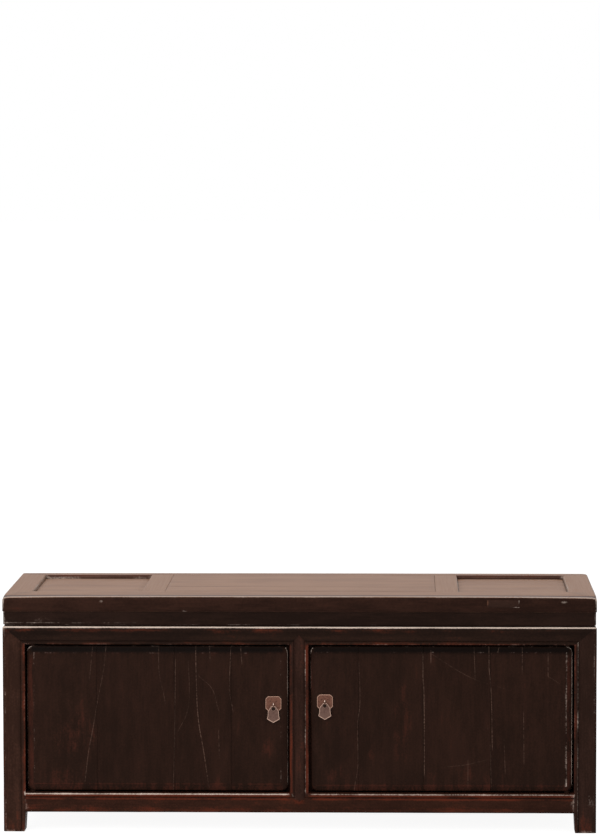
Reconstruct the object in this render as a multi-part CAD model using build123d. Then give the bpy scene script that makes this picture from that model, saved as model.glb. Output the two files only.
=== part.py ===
"""Low lacquered cabinet with two doors, made to stand on a heated brick bed.

A frame-and-panel carcass of posts and rails stands on the post ends. The front
shoulders are mitred and every opening has a bead worked on its edge. A recessed
waist carries a framed top with a recessed panel at each end and a loose lid in
the middle. Each door is four planks on two dovetailed battens. It turns on
wooden pins in the front rails and has a plate, an eye pin and a drop pull.

Units are millimetres, +X to the right, +Y to the back, +Z up. The origin is the
middle of the bounding box, on the floor.
"""

from build123d import *
import os

# Overall
WIDTH = 1200.0
DEPTH = 420.0
HEIGHT = 480.0

# Carcass frame
POST = 45.0  # side of a square post
FOOT_H = 40.0  # free height below the bottom rails
FOOT_TAPER = 3.0  # each inner face of a foot, at the floor
BOTTOM_RAIL_H = 40.0
TOP_RAIL_H = 36.5
RAIL_T = 38.0
STILE_W = 38.0
MITRE_D = 12.0  # depth of the mitred front shoulders
POST_ARRIS = 5.0
RAIL_ARRIS = 4.5  # top outer edge of the carcass
EDGE_R = 2.5  # rounding of the beads at the openings
BEAD_W = 8.5
GROOVE_W = 2.0
GROOVE_D = 1.3

# Tenons
TENON_T = 12.0
TENON_L = 30.0
TENON_H = 10.0
TENON_SETBACK = 18.0  # from the outer face of the frame
TENON_MARGIN = 5.0  # from a rail's outer long edge
TENON_STEP = 13.0  # between the tenons that meet in one post
STILE_TENON_W = 26.0
STILE_TENON_L = 22.0
STILE_TENON_SETBACK = 13.0
POST_TENON = 16.0
POST_TENON_INSET = 24.0
POST_TENON_UP = 10.0  # into the top frame

# Panels in grooves
PANEL_T = 10.0
PANEL_TONGUE = 7.0
PANEL_EDGE_GAP = 0.8  # room for the panel's edge to swell
SIDE_PANEL_SETBACK = 10.0
BACK_PANEL_SETBACK = 12.0

# Floor
FLOOR_T = 12.0
FLOOR_DROP = 5.0  # floor surface below the top of the bottom rails
FLOOR_TONGUE = 8.0
FLOOR_BOARDS = 3
FLOOR_POST_GAP = 0.4
BEARER_W = 30.0
BEARER_H = 21.0
BEARER_TENON = 12.0
BEARER_INSET = 175.0  # the outer bearers from the posts

# Waist
WAIST_H = 30.0
WAIST_T = 20.0
WAIST_SETBACK = 1.5
WAIST_GROOVE_H = 3.0
WAIST_GROOVE_D = 4.0
WAIST_ARRIS = 1.5

# Top frame
TOP_T = 31.0
TOP_FRONT_W = 90.0
TOP_BACK_W = 38.0
TOP_END_W = 53.0
TOP_CROSS_W = 47.0
TOP_RECESS_W = 224.0
TOP_CORNER_R = 5.0
TOP_WORN_CORNER_R = 14.0  # back right corner, worn round
TOP_ARRIS = 4.0
TOP_UNDER_ARRIS = 1.5
TOP_TENON_T = 9.0
TOP_TENON_L = 37.0
TOP_TENON_Z = 13.0  # above the underside of the top frame
TOP_TENON_INSET = 10.0
TOP_TENON_W = 20.0
CROSS_TENON_L = 22.0
CROSS_TENON_W = 26.0
CROSS_TENON_Z = 7.0
RECESS_DEPTH = 8.5
FIELD_RISE = 2.0
FIELD_BORDER = 15.0
TOP_PANEL_T = 8.0
TOP_PANEL_BATTEN_W = 30.0
TOP_PANEL_BATTEN_H = 10.0
TOP_PANEL_BATTEN_END = 9.0
BATTEN_HOUSING = 3.0  # depth of the dovetail in a top panel
BATTEN_FLARE = 2.0

# Inlaid repair in the front edge of the top
PATCH_FROM_END = 188.5  # its middle from the right end
PATCH_W = 65.0
PATCH_H = 15.0
PATCH_T = 6.0
PATCH_BELOW_TOP = 6.5

# Lid
LID_T = 20.0
LID_GAP = 1.0
LID_LEDGE = 12.0
LID_FRONT_BOARD = 78.0
LID_BATTEN_W = 36.0
LID_BATTEN_H = 18.0
LID_BATTEN_HOUSING = 5.0
LID_BATTEN_INSET = 112.0  # its middle from the cross rail
LID_BATTEN_END_GAP = 3.0

# Doors
DOOR_T = 20.0
DOOR_SETBACK = 6.0
DOOR_SIDE_GAP = 4.0
DOOR_TOP_GAP = 4.0
DOOR_BOTTOM_GAP = 3.5
DOOR_CORNER_R = 9.0
DOOR_HINGE_R = 4.5  # back edge on the pivot side
BEVEL_W = 14.0
BEVEL_FALL = 3.5
LEFT_PLANKS = (141.5, 157.0, 115.0)  # from the pivot edge, the last one takes the rest
RIGHT_PLANKS = (164.5, 135.5, 131.5)
PIVOT_R = 6.0
PIVOT_INSET = 10.0
PIVOT_ROOT = 12.0  # length of the pin inside the plank
PIVOT_CLEARANCE = 0.08
PIVOT_TOP_REACH = 13.0
PIVOT_BOTTOM_REACH = 10.0
PIVOT_END_GAP = 0.3
STOP_LIP = 8.0
STOP_GAP = 0.5
DOOR_BATTEN_H = 40.0
DOOR_BATTEN_T = 18.0
DOOR_BATTEN_HOUSING = 6.0
DOOR_BATTEN_FLARE = 3.0
DOOR_BATTEN_INSET = 45.0  # from the door's top and bottom edges
DOOR_BATTEN_END = 26.0

# Pulls
PLATE_W = 33.0
PLATE_H = 30.0
PLATE_T = 1.2
PLATE_CHAMFER = 4.9
PLATE_FROM_EDGE = 29.0  # its middle from the door's free edge
PLATE_DROP_LEFT = 116.5  # its middle below the door's top edge
PLATE_DROP_RIGHT = 112.5
EYE_DROP_LEFT = 3.1  # the eye below the middle of the plate
EYE_DROP_RIGHT = 0.6
EYE_R = 4.5
EYE_WIRE_R = 0.9
EYE_STANDOFF = 4.9
SHANK_R = 1.5
CLINCH_L = 12.0
CLINCH_W = 2.4
CLINCH_T = 1.0
PULL_T = 1.6
PULL_HOLE_R = 3.8
PULL_CLEARANCE = 0.3

# Half of a pull's outline, from the middle of its hole
PULL_HEAD = (0.0, 6.5)
PULL_CROWN = (4.4, 4.9)
PULL_NECK = (6.4, 2.0)
PULL_SHOULDER = (9.6, -2.0)
PULL_HIP = (11.1, -5.6)
PULL_WAIST = (11.4, -9.8)
PULL_SKIRT = (12.0, -15.0)
PULL_CORNER = (13.4, -20.2)
PULL_HEEL = (12.2, -22.1)
PULL_TIP = (0.0, -28.8)

# Levels and planes that follow from the sizes above
EYE_PROUD = PLATE_T + EYE_STANDOFF + EYE_R + EYE_WIRE_R - DOOR_SETBACK
LEFT = -WIDTH / 2
RIGHT = WIDTH / 2
FRONT = (EYE_PROUD - DEPTH) / 2
BACK = FRONT + DEPTH
INNER_LEFT = LEFT + POST
INNER_RIGHT = RIGHT - POST
TOP_UNDER = HEIGHT - TOP_T
CARCASS_TOP = TOP_UNDER - WAIST_H
HEAD_Z = CARCASS_TOP - TOP_RAIL_H  # top of the door openings
SILL_Z = FOOT_H + BOTTOM_RAIL_H
FLOOR_Z = SILL_Z - FLOOR_DROP
DOOR_FACE = FRONT + DOOR_SETBACK
DOOR_BACK = DOOR_FACE + DOOR_T
LID_FRONT = FRONT + TOP_FRONT_W
LID_BACK = BACK - TOP_BACK_W
RECESS_LEFT = LEFT + TOP_END_W
CROSS_LEFT = RECESS_LEFT + TOP_RECESS_W
LID_LEFT = CROSS_LEFT + TOP_CROSS_W
TOP_BEAD_W = BEAD_W * TOP_RAIL_H / POST  # meets the bead of the posts on the mitre
PIVOT_X = INNER_LEFT + DOOR_SIDE_GAP + PIVOT_INSET
PIVOT_Y = DOOR_FACE + DOOR_T / 2


# Helpers
def block(x0, x1, y0, y1, z0, z1):
    """A box between two corners."""
    middle = Pos((x0 + x1) / 2, (y0 + y1) / 2, (z0 + z1) / 2)
    return Part() + middle * Box(x1 - x0, y1 - y0, z1 - z0)


def prism(points, direction):
    """A flat polygon of 3-D points, extruded along a vector."""
    face = Face(Wire.make_polygon([Vector(*p) for p in points], close=True))
    return Part() + Solid.extrude(face, Vector(*direction))


def prism_along_x(points, x0, x1):
    """A polygon of (y, z) points, extruded from x0 to x1."""
    return prism([(x0, y, z) for y, z in points], (x1 - x0, 0, 0))


def prism_along_y(points, y0, y1):
    """A polygon of (x, z) points, extruded from y0 to y1."""
    return prism([(x, y0, z) for x, z in points], (0, y1 - y0, 0))


def prism_along_z(points, z0, z1):
    """A polygon of (x, y) points, extruded from z0 to z1."""
    return prism([(x, y, z0) for x, y in points], (0, 0, z1 - z0))


def long_edge(part, axis, *corner):
    """The straight edges along an axis that pass through a point of the cross-section."""
    across = [i for i in range(3) if i != "XYZ".index(axis)]
    near = 0.01
    return [
        edge
        for edge in part.edges().filter_by(getattr(Axis, axis))
        if all(abs(tuple(edge.center())[i] - c) < near for i, c in zip(across, corner))
    ]


def dovetail(centre, mouth, width, depth, flare):
    """Four points of a dovetail that is `width` wide at its mouth and widens by `flare`."""
    half = width / 2
    return [
        (centre - half, mouth),
        (centre + half, mouth),
        (centre + half + flare, mouth + depth),
        (centre - half - flare, mouth + depth),
    ]


def mirrored(part):
    """The same piece on the other side of the cabinet."""
    return mirror(part, about=Plane.YZ)


def both(part):
    """A piece together with the same one on the other side."""
    return part + mirrored(part)


def opposite(name):
    """The name of the piece on the other side."""
    return name.replace("left", "right")


# Rounded outer bodies, which every outer member is cut from
def carcass_body():
    """The outside of the posts and rails, with its vertical and top edges eased."""
    body = block(LEFT, RIGHT, FRONT, BACK, 0, CARCASS_TOP)
    body = fillet(body.edges().filter_by(Axis.Z), POST_ARRIS)
    return fillet(body.faces().sort_by(Axis.Z)[-1].edges(), RAIL_ARRIS)


def top_body():
    """The outside of the framed top. One back corner is worn round."""
    body = block(LEFT, RIGHT, FRONT, BACK, TOP_UNDER, HEIGHT)
    worn = long_edge(body, "Z", RIGHT, BACK)
    body = fillet(worn, TOP_WORN_CORNER_R)
    corners = [
        edge
        for x, y in ((LEFT, FRONT), (RIGHT, FRONT), (LEFT, BACK))
        for edge in long_edge(body, "Z", x, y)
    ]
    body = fillet(corners, TOP_CORNER_R)
    body = fillet(body.faces().sort_by(Axis.Z)[-1].edges(), TOP_ARRIS)
    return fillet(body.faces().sort_by(Axis.Z)[0].edges(), TOP_UNDER_ARRIS)


def waist_body():
    """The outside of the waist, with the shadow groove along its foot."""
    face = WAIST_SETBACK
    foot = WAIST_SETBACK + WAIST_GROOVE_D
    groove_top = CARCASS_TOP + WAIST_GROOVE_H
    body = block(LEFT + face, RIGHT - face, FRONT + face, BACK - face, groove_top, TOP_UNDER)
    body = fillet(body.edges().filter_by(Axis.Z), POST_ARRIS)
    body = fillet(body.faces().sort_by(Axis.Z)[0].edges(), WAIST_ARRIS)
    return body + block(LEFT + foot, RIGHT - foot, FRONT + foot, BACK - foot, CARCASS_TOP, groove_top)


# Bead grooves
def groove_along_x(z):
    """A V groove in the front face, along X."""
    half = GROOVE_W / 2
    return prism_along_x([(FRONT, z - half), (FRONT, z + half), (FRONT + GROOVE_D, z)], LEFT, RIGHT)


def groove_along_y(z):
    """A V groove in the left face, along Y."""
    half = GROOVE_W / 2
    return prism_along_y([(LEFT, z - half), (LEFT, z + half), (LEFT + GROOVE_D, z)], FRONT, BACK)


def post_groove_front(x):
    """A V groove in the front face, along Z."""
    half = GROOVE_W / 2
    points = [(x - half, FRONT), (x + half, FRONT), (x, FRONT + GROOVE_D)]
    return prism_along_z(points, 0, CARCASS_TOP)


def post_groove_side(y):
    """A V groove in the left face, along Z."""
    half = GROOVE_W / 2
    points = [(LEFT, y - half), (LEFT, y + half), (LEFT + GROOVE_D, y)]
    return prism_along_z(points, 0, CARCASS_TOP)


# Tenons
def tenon_levels(z0, z1):
    """The lower level of the upper and the lower tenon of a rail from z0 to z1."""
    upper = z1 - TENON_MARGIN - TENON_H
    return upper, upper - TENON_STEP


def tenons_along_x(y, z):
    """The tenons at both ends of a front or back rail, joined through it."""
    return block(INNER_LEFT - TENON_L, INNER_RIGHT + TENON_L, y, y + TENON_T, z, z + TENON_H)


def front_tenons(z0, z1):
    """The tenons of a front rail from z0 to z1."""
    return tenons_along_x(FRONT + TENON_SETBACK, tenon_levels(z0, z1)[0])


def back_tenons(z0, z1):
    """The tenons of a back rail from z0 to z1."""
    return tenons_along_x(BACK - TENON_SETBACK - TENON_T, tenon_levels(z0, z1)[0])


def side_tenons(z0, z1):
    """The tenons of a left side rail from z0 to z1. They pass below those of the front rails."""
    x = LEFT + TENON_SETBACK
    y0 = FRONT + POST - TENON_L
    y1 = BACK - POST + TENON_L
    z = tenon_levels(z0, z1)[1]
    return block(x, x + TENON_T, y0, y1, z, z + TENON_H)


# Front frame
def pivot_sockets(z_mouth, up):
    """The blind holes for the pins of both doors, opening at z_mouth."""
    depth = PIVOT_END_GAP + (PIVOT_TOP_REACH if up else PIVOT_BOTTOM_REACH)
    z = z_mouth + depth / 2 if up else z_mouth - depth / 2
    hole = Pos(PIVOT_X, PIVOT_Y, z) * Cylinder(PIVOT_R + PIVOT_CLEARANCE, depth)
    return [hole, mirrored(hole)]


def front_top_space():
    """The room of the front top rail. Its face is mitred over the posts and to the side rails."""
    face = [(LEFT, CARCASS_TOP), (RIGHT, CARCASS_TOP), (INNER_RIGHT, HEAD_Z), (INNER_LEFT, HEAD_Z)]
    space = prism_along_y(face, FRONT, FRONT + MITRE_D)
    space += block(INNER_LEFT, INNER_RIGHT, FRONT + MITRE_D, FRONT + RAIL_T, HEAD_Z, CARCASS_TOP)
    corner = [(LEFT, FRONT), (LEFT, FRONT + MITRE_D), (LEFT + MITRE_D, FRONT + MITRE_D)]
    wedge = prism_along_z(corner, HEAD_Z, CARCASS_TOP)
    return space - wedge - mirrored(wedge)


def front_top_rail(body):
    """The head of both doors."""
    bar = block(LEFT, RIGHT, FRONT, FRONT + RAIL_T, HEAD_Z, CARCASS_TOP)
    bar = fillet(long_edge(bar, "X", FRONT, HEAD_Z), EDGE_R) & body
    bar -= groove_along_x(HEAD_Z + TOP_BEAD_W)
    rail = (bar & front_top_space()) + front_tenons(HEAD_Z, CARCASS_TOP)
    return rail - front_stile_space() - pivot_sockets(HEAD_Z, up=True)


def front_bottom_rail(floor, bearers):
    """The sill of both doors, between the posts."""
    rail = block(INNER_LEFT, INNER_RIGHT, FRONT, FRONT + RAIL_T, FOOT_H, SILL_Z)
    edges = long_edge(rail, "X", FRONT, SILL_Z) + long_edge(rail, "X", FRONT, FOOT_H)
    rail = fillet(edges, EDGE_R) - groove_along_x(SILL_Z - BEAD_W)
    rail += front_tenons(FOOT_H, SILL_Z)
    return rail - front_stile_space() - pivot_sockets(SILL_Z, up=False) - floor - bearers


def stile_face():
    """The front of the stile with its pointed shoulders, before the beads are worked."""
    half = STILE_W / 2
    outline = [
        (-half, SILL_Z),
        (0, SILL_Z - half),
        (half, SILL_Z),
        (half, HEAD_Z),
        (0, HEAD_Z + half),
        (-half, HEAD_Z),
    ]
    return prism_along_y(outline, FRONT, FRONT + MITRE_D)


def stile_back():
    """The stile behind its face: the lip that stops both doors, and the tenons."""
    half = STILE_W / 2
    lip_y = DOOR_BACK + STOP_GAP
    lip_x = half + STOP_LIP
    y = FRONT + STILE_TENON_SETBACK
    tenon_x = STILE_TENON_W / 2
    back = block(-half, half, FRONT + MITRE_D, lip_y, SILL_Z, HEAD_Z)
    back += block(-lip_x, lip_x, lip_y, FRONT + RAIL_T, SILL_Z, HEAD_Z)
    low = SILL_Z - STILE_TENON_L
    high = HEAD_Z + STILE_TENON_L
    return back + block(-tenon_x, tenon_x, y, y + TENON_T, low, high)


def front_stile_space():
    """The room of the centre stile."""
    return stile_face() + stile_back()


def front_stile():
    """The upright between the doors."""
    half = STILE_W / 2
    bar = block(-half, half, FRONT, FRONT + MITRE_D, SILL_Z - half, HEAD_Z + half)
    bar = fillet(long_edge(bar, "Z", -half, FRONT) + long_edge(bar, "Z", half, FRONT), EDGE_R)
    grooves = [post_groove_front(x) for x in (-half + BEAD_W, half - BEAD_W)]
    return ((bar - grooves) & stile_face()) + stile_back()


# Side frame, made for the left
def side_top_space():
    """The room of the side top rail. Its face is mitred over both posts and to the front rail."""
    face = [(FRONT, CARCASS_TOP), (BACK, CARCASS_TOP), (BACK - POST, HEAD_Z), (FRONT + POST, HEAD_Z)]
    space = prism_along_x(face, LEFT, LEFT + MITRE_D)
    space += block(LEFT + MITRE_D, LEFT + RAIL_T, FRONT + POST, BACK - POST, HEAD_Z, CARCASS_TOP)
    corner = [(LEFT, FRONT), (LEFT + MITRE_D, FRONT), (LEFT + MITRE_D, FRONT + MITRE_D)]
    return space - prism_along_z(corner, HEAD_Z, CARCASS_TOP)


def side_top_rail(body, slot):
    """The top rail of the side."""
    bar = block(LEFT, LEFT + RAIL_T, FRONT, BACK, HEAD_Z, CARCASS_TOP)
    bar = fillet(long_edge(bar, "Y", LEFT, HEAD_Z), EDGE_R) & body
    bar -= groove_along_y(HEAD_Z + TOP_BEAD_W)
    return (bar & side_top_space()) + side_tenons(HEAD_Z, CARCASS_TOP) - slot


def side_bottom_rail(slot, floor):
    """The bottom rail of the side, between the posts."""
    rail = block(LEFT, LEFT + RAIL_T, FRONT + POST, BACK - POST, FOOT_H, SILL_Z)
    edges = long_edge(rail, "Y", LEFT, SILL_Z) + long_edge(rail, "Y", LEFT, FOOT_H)
    rail = fillet(edges, EDGE_R) - groove_along_y(SILL_Z - BEAD_W)
    return rail + side_tenons(FOOT_H, SILL_Z) - slot - floor


def side_panel(grow=0.0):
    """The left side panel, or its slot when grown."""
    reach = PANEL_TONGUE + grow
    x = LEFT + SIDE_PANEL_SETBACK
    y0 = FRONT + POST - reach
    y1 = BACK - POST + reach
    return block(x, x + PANEL_T, y0, y1, SILL_Z - reach, HEAD_Z + reach)


# Back frame
def back_rail(body, z0, z1, *cuts):
    """A back rail, tenoned into the back posts."""
    rail = block(INNER_LEFT, INNER_RIGHT, BACK - RAIL_T, BACK, z0, z1)
    rail = (fillet(long_edge(rail, "X", BACK, z0), EDGE_R) & body) + back_tenons(z0, z1)
    for cut in cuts:
        rail -= cut
    return rail


def back_stile(slots):
    """The upright between the back panels."""
    half = STILE_W / 2
    stile = block(-half, half, BACK - RAIL_T, BACK, SILL_Z, HEAD_Z)
    y = BACK - STILE_TENON_SETBACK
    w = STILE_TENON_W / 2
    stile += block(-w, w, y - TENON_T, y, SILL_Z - STILE_TENON_L, HEAD_Z + STILE_TENON_L)
    return stile - slots


def back_panel(grow=0.0):
    """The left back panel, or its slot when grown. It is notched round the middle tenons."""
    reach = PANEL_TONGUE + grow
    y = BACK - BACK_PANEL_SETBACK
    x0 = INNER_LEFT - reach
    x1 = -STILE_W / 2 + reach
    panel = block(x0, x1, y - PANEL_T, y, SILL_Z - reach, HEAD_Z + reach)
    notch = STILE_TENON_W / 2
    for z0, z1 in ((SILL_Z - reach, SILL_Z), (HEAD_Z, HEAD_Z + reach)):
        panel -= block(-notch, x1 + reach, y - PANEL_T, y, z0, z1)
    return panel


# Posts, made for the left
def post(body, y0, parts_let_in):
    """A left post whose front face is at y0, with its top tenon and the joints cut in it."""
    y1 = y0 + POST
    front = y0 == FRONT
    inner_y = y1 if front else y0
    leg = block(LEFT, INNER_LEFT, y0, y1, 0, CARCASS_TOP)
    beads = long_edge(leg, "Z", LEFT, inner_y)
    if front:
        beads += long_edge(leg, "Z", INNER_LEFT, y0)
    leg = fillet(beads, EDGE_R) & body
    leg -= post_groove_side(inner_y - BEAD_W if front else inner_y + BEAD_W)
    if front:
        leg -= post_groove_front(INNER_LEFT - BEAD_W)
    leg -= foot_taper(inner_y, 1 if front else -1, y0, y1)
    x = LEFT + POST_TENON_INSET
    y = y0 + POST_TENON_INSET if front else y1 - POST_TENON_INSET - POST_TENON
    leg += block(x, x + POST_TENON, y, y + POST_TENON, CARCASS_TOP, TOP_UNDER + POST_TENON_UP)
    for piece in parts_let_in:
        leg -= piece
    return leg


def foot_taper(inner_y, outward, y0, y1):
    """What is planed off both inner faces of a foot."""
    x_face = [(INNER_LEFT, FOOT_H), (INNER_LEFT, 0), (INNER_LEFT - FOOT_TAPER, 0)]
    y_face = [(inner_y, FOOT_H), (inner_y, 0), (inner_y - outward * FOOT_TAPER, 0)]
    return prism_along_y(x_face, y0, y1) + prism_along_x(y_face, LEFT, INNER_LEFT)


# Floor
def floor_sheet():
    """The floor before it is sawn into boards, notched round the posts."""
    x = LEFT + RAIL_T - FLOOR_TONGUE
    y0 = FRONT + RAIL_T - FLOOR_TONGUE
    y1 = BACK - RAIL_T + FLOOR_TONGUE
    sheet = block(x, -x, y0, y1, FLOOR_Z - FLOOR_T, FLOOR_Z)
    inner_x = INNER_LEFT + FLOOR_POST_GAP
    for near, far in ((y0, FRONT + POST + FLOOR_POST_GAP), (BACK - POST - FLOOR_POST_GAP, y1)):
        notch = block(x, inner_x, near, far, FLOOR_Z - FLOOR_T, FLOOR_Z)
        sheet = sheet - notch - mirrored(notch)
    return sheet


def floor_boards(sheet):
    """The boards of the floor, from the front to the back."""
    y0 = FRONT + RAIL_T - FLOOR_TONGUE
    width = (BACK - RAIL_T + FLOOR_TONGUE - y0) / FLOOR_BOARDS
    boards = []
    for i in range(FLOOR_BOARDS):
        strip = block(LEFT, RIGHT, y0 + i * width, y0 + (i + 1) * width, 0, FLOOR_Z)
        boards.append(sheet & strip)
    return boards


def floor_bearers():
    """Three bearers under the floor, tenoned into the front and back rails."""
    y0 = FRONT + RAIL_T - BEARER_TENON
    y1 = BACK - RAIL_T + BEARER_TENON
    z1 = FLOOR_Z - FLOOR_T
    half = BEARER_W / 2
    bearers = Part()
    for x in (INNER_LEFT + BEARER_INSET, 0, INNER_RIGHT - BEARER_INSET):
        bearers += block(x - half, x + half, y0, y1, z1 - BEARER_H, z1)
    return bearers


# Waist
def waist_boards(body):
    """Four waist boards, mitred at the corners."""
    inner = WAIST_SETBACK + WAIST_T
    hollow = block(LEFT + inner, RIGHT - inner, FRONT + inner, BACK - inner, CARCASS_TOP, TOP_UNDER)
    ring = body - hollow
    run = 2 * WAIST_T  # how far each mitre reaches in
    corners = [(LEFT, FRONT), (RIGHT, FRONT), (RIGHT, BACK), (LEFT, BACK)]
    insides = [
        (LEFT + run, FRONT + run),
        (RIGHT - run, FRONT + run),
        (RIGHT - run, BACK - run),
        (LEFT + run, BACK - run),
    ]
    boards = {}
    for i, name in enumerate(("waist_front", "waist_right", "waist_back", "waist_left")):
        j = (i + 1) % 4
        wedge = [corners[i], corners[j], insides[j], insides[i]]
        boards[name] = ring & prism_along_z(wedge, CARCASS_TOP, TOP_UNDER)
    return boards


# Top frame
def top_panel(grow=0.0):
    """The left recessed panel with its raised field, or its slot when grown."""
    reach = PANEL_TONGUE + grow
    z1 = HEIGHT - RECESS_DEPTH
    z0 = z1 - TOP_PANEL_T
    panel = block(RECESS_LEFT - reach, CROSS_LEFT + reach, LID_FRONT - reach, LID_BACK + reach, z0, z1)
    if grow:
        return panel
    wires = []
    for inset, z in ((0, z1), (FIELD_BORDER, z1 + FIELD_RISE)):
        xs = (RECESS_LEFT + inset, CROSS_LEFT - inset)
        ys = (LID_FRONT + inset, LID_BACK - inset)
        corners = [(xs[0], ys[0]), (xs[1], ys[0]), (xs[1], ys[1]), (xs[0], ys[1])]
        wires.append(Wire.make_polygon([Vector(x, y, z) for x, y in corners], close=True))
    return panel + Solid.make_loft(wires, ruled=True)


def top_panel_batten():
    """The batten under the left recessed panel, dovetailed into it and let into both rails."""
    x = (RECESS_LEFT + CROSS_LEFT) / 2
    mouth = HEIGHT - RECESS_DEPTH - TOP_PANEL_T
    half = TOP_PANEL_BATTEN_W / 2
    y0 = LID_FRONT - TOP_PANEL_BATTEN_END
    y1 = LID_BACK + TOP_PANEL_BATTEN_END
    batten = block(x - half, x + half, y0, y1, mouth - TOP_PANEL_BATTEN_H, mouth)
    tail = dovetail(x, mouth, TOP_PANEL_BATTEN_W - 2 * BATTEN_FLARE, BATTEN_HOUSING, BATTEN_FLARE)
    return batten + prism_along_y(tail, LID_FRONT, LID_BACK)


def lid_ledge(x0, x1, y0, y1):
    """A ledge that the lid lies on."""
    return block(x0, x1, y0, y1, TOP_UNDER, HEIGHT - LID_T)


def cross_tenons():
    """The tenons of the left cross rail, joined through it."""
    x = CROSS_LEFT + (TOP_CROSS_W - CROSS_TENON_W) / 2
    z = TOP_UNDER + CROSS_TENON_Z
    y0 = LID_FRONT - CROSS_TENON_L
    y1 = LID_BACK + CROSS_TENON_L
    return block(x, x + CROSS_TENON_W, y0, y1, z, z + TOP_TENON_T)


def end_tenon(y):
    """The tenon of a long rail in the left end rail, whose front side is at y."""
    x1 = LEFT + TOP_END_W
    z = TOP_UNDER + TOP_TENON_Z
    return block(x1 - TOP_TENON_L, x1, y, y + TOP_TENON_W, z, z + TOP_TENON_T)


def top_frame(body, posts, panel_slots, battens, patch):
    """The six members of the framed top."""
    inner_right = RIGHT - TOP_END_W
    front = [(LEFT, FRONT), (RIGHT, FRONT), (inner_right, LID_FRONT), (RECESS_LEFT, LID_FRONT)]
    back = [(LEFT, BACK), (RIGHT, BACK), (inner_right, LID_BACK), (RECESS_LEFT, LID_BACK)]
    end = [(LEFT, FRONT), (RECESS_LEFT, LID_FRONT), (RECESS_LEFT, LID_BACK), (LEFT, BACK)]
    front_tenon = end_tenon(LID_FRONT - TOP_TENON_INSET - TOP_TENON_W)
    back_tenon = end_tenon(LID_BACK + TOP_TENON_INSET)
    crossings = cross_tenons() + mirrored(cross_tenons())
    lid_right = -LID_LEFT

    front_rail = prism_along_z(front, TOP_UNDER, HEIGHT) & body
    front_rail += lid_ledge(LID_LEFT, lid_right, LID_FRONT, LID_FRONT + LID_LEDGE)
    front_rail = front_rail + front_tenon + mirrored(front_tenon)
    front_rail = front_rail - crossings - posts - panel_slots - battens - patch

    rear_rail = prism_along_z(back, TOP_UNDER, HEIGHT) & body
    rear_rail += lid_ledge(LID_LEFT, lid_right, LID_BACK - LID_LEDGE, LID_BACK)
    rear_rail = rear_rail + back_tenon + mirrored(back_tenon)
    rear_rail = rear_rail - crossings - posts - panel_slots - battens

    end_left = prism_along_z(end, TOP_UNDER, HEIGHT)
    ends = {}
    for name, piece in (("top_end_left", end_left), ("top_end_right", mirrored(end_left))):
        ends[name] = (piece & body) - front_rail - rear_rail - posts - panel_slots

    cross = block(CROSS_LEFT, LID_LEFT, LID_FRONT, LID_BACK, TOP_UNDER, HEIGHT)
    cross += lid_ledge(LID_LEFT, LID_LEFT + LID_LEDGE, LID_FRONT + LID_LEDGE, LID_BACK - LID_LEDGE)
    cross = cross + cross_tenons() - panel_slots
    return {
        "top_front_rail": front_rail,
        "top_back_rail": rear_rail,
        **ends,
        "top_cross_left": cross,
        "top_cross_right": mirrored(cross),
    }


def front_patch():
    """The strip let into the front edge of the top as a repair."""
    x = RIGHT - PATCH_FROM_END
    z1 = HEIGHT - PATCH_BELOW_TOP
    half = PATCH_W / 2
    return block(x - half, x + half, FRONT, FRONT + PATCH_T, z1 - PATCH_H, z1)


# Lid
def lid():
    """The two boards of the lid and its battens."""
    x0 = LID_LEFT + LID_GAP
    y0 = LID_FRONT + LID_GAP
    y1 = LID_BACK - LID_GAP
    z0 = HEIGHT - LID_T
    joint = y0 + LID_FRONT_BOARD
    battens = Part()
    for x in (LID_LEFT + LID_BATTEN_INSET, -LID_LEFT - LID_BATTEN_INSET):
        half = LID_BATTEN_W / 2
        b0 = LID_FRONT + LID_LEDGE + LID_BATTEN_END_GAP
        b1 = LID_BACK - LID_LEDGE - LID_BATTEN_END_GAP
        batten = block(x - half, x + half, b0, b1, z0 - LID_BATTEN_H, z0)
        tail = dovetail(x, z0, LID_BATTEN_W - 2 * BATTEN_FLARE, LID_BATTEN_HOUSING, BATTEN_FLARE)
        battens += batten + prism_along_y(tail, b0, b1)
    return {
        "lid_board_front": block(x0, -x0, y0, joint, z0, HEIGHT) - battens,
        "lid_board_back": block(x0, -x0, joint, y1, z0, HEIGHT) - battens,
        "lid_battens": battens,
    }


# Doors, made for the left
def door_board():
    """The whole door with its bevelled border and its two pivot pins."""
    x0 = INNER_LEFT + DOOR_SIDE_GAP
    x1 = -STILE_W / 2 - DOOR_SIDE_GAP
    z0 = SILL_Z + DOOR_BOTTOM_GAP
    z1 = HEAD_Z - DOOR_TOP_GAP
    y = DOOR_FACE
    board = block(x0, x1, y, DOOR_BACK, z0, z1)
    board = fillet(board.edges().filter_by(Axis.Y), DOOR_CORNER_R)
    board = fillet(long_edge(board, "Z", x0, DOOR_BACK), DOOR_HINGE_R)
    fall = y + BEVEL_FALL
    board -= prism_along_z([(x0, y), (x0 + BEVEL_W, y), (x0, fall)], z0, z1)
    board -= prism_along_z([(x1, y), (x1 - BEVEL_W, y), (x1, fall)], z0, z1)
    board -= prism_along_x([(y, z0), (y, z0 + BEVEL_W), (fall, z0)], x0, x1)
    board -= prism_along_x([(y, z1), (y, z1 - BEVEL_W), (fall, z1)], x0, x1)
    pins = (
        (z1 - PIVOT_ROOT, HEAD_Z + PIVOT_TOP_REACH),
        (SILL_Z - PIVOT_BOTTOM_REACH, z0 + PIVOT_ROOT),
    )
    for low, high in pins:
        board += Pos(PIVOT_X, PIVOT_Y, (low + high) / 2) * Cylinder(PIVOT_R, high - low)
    return board


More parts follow.
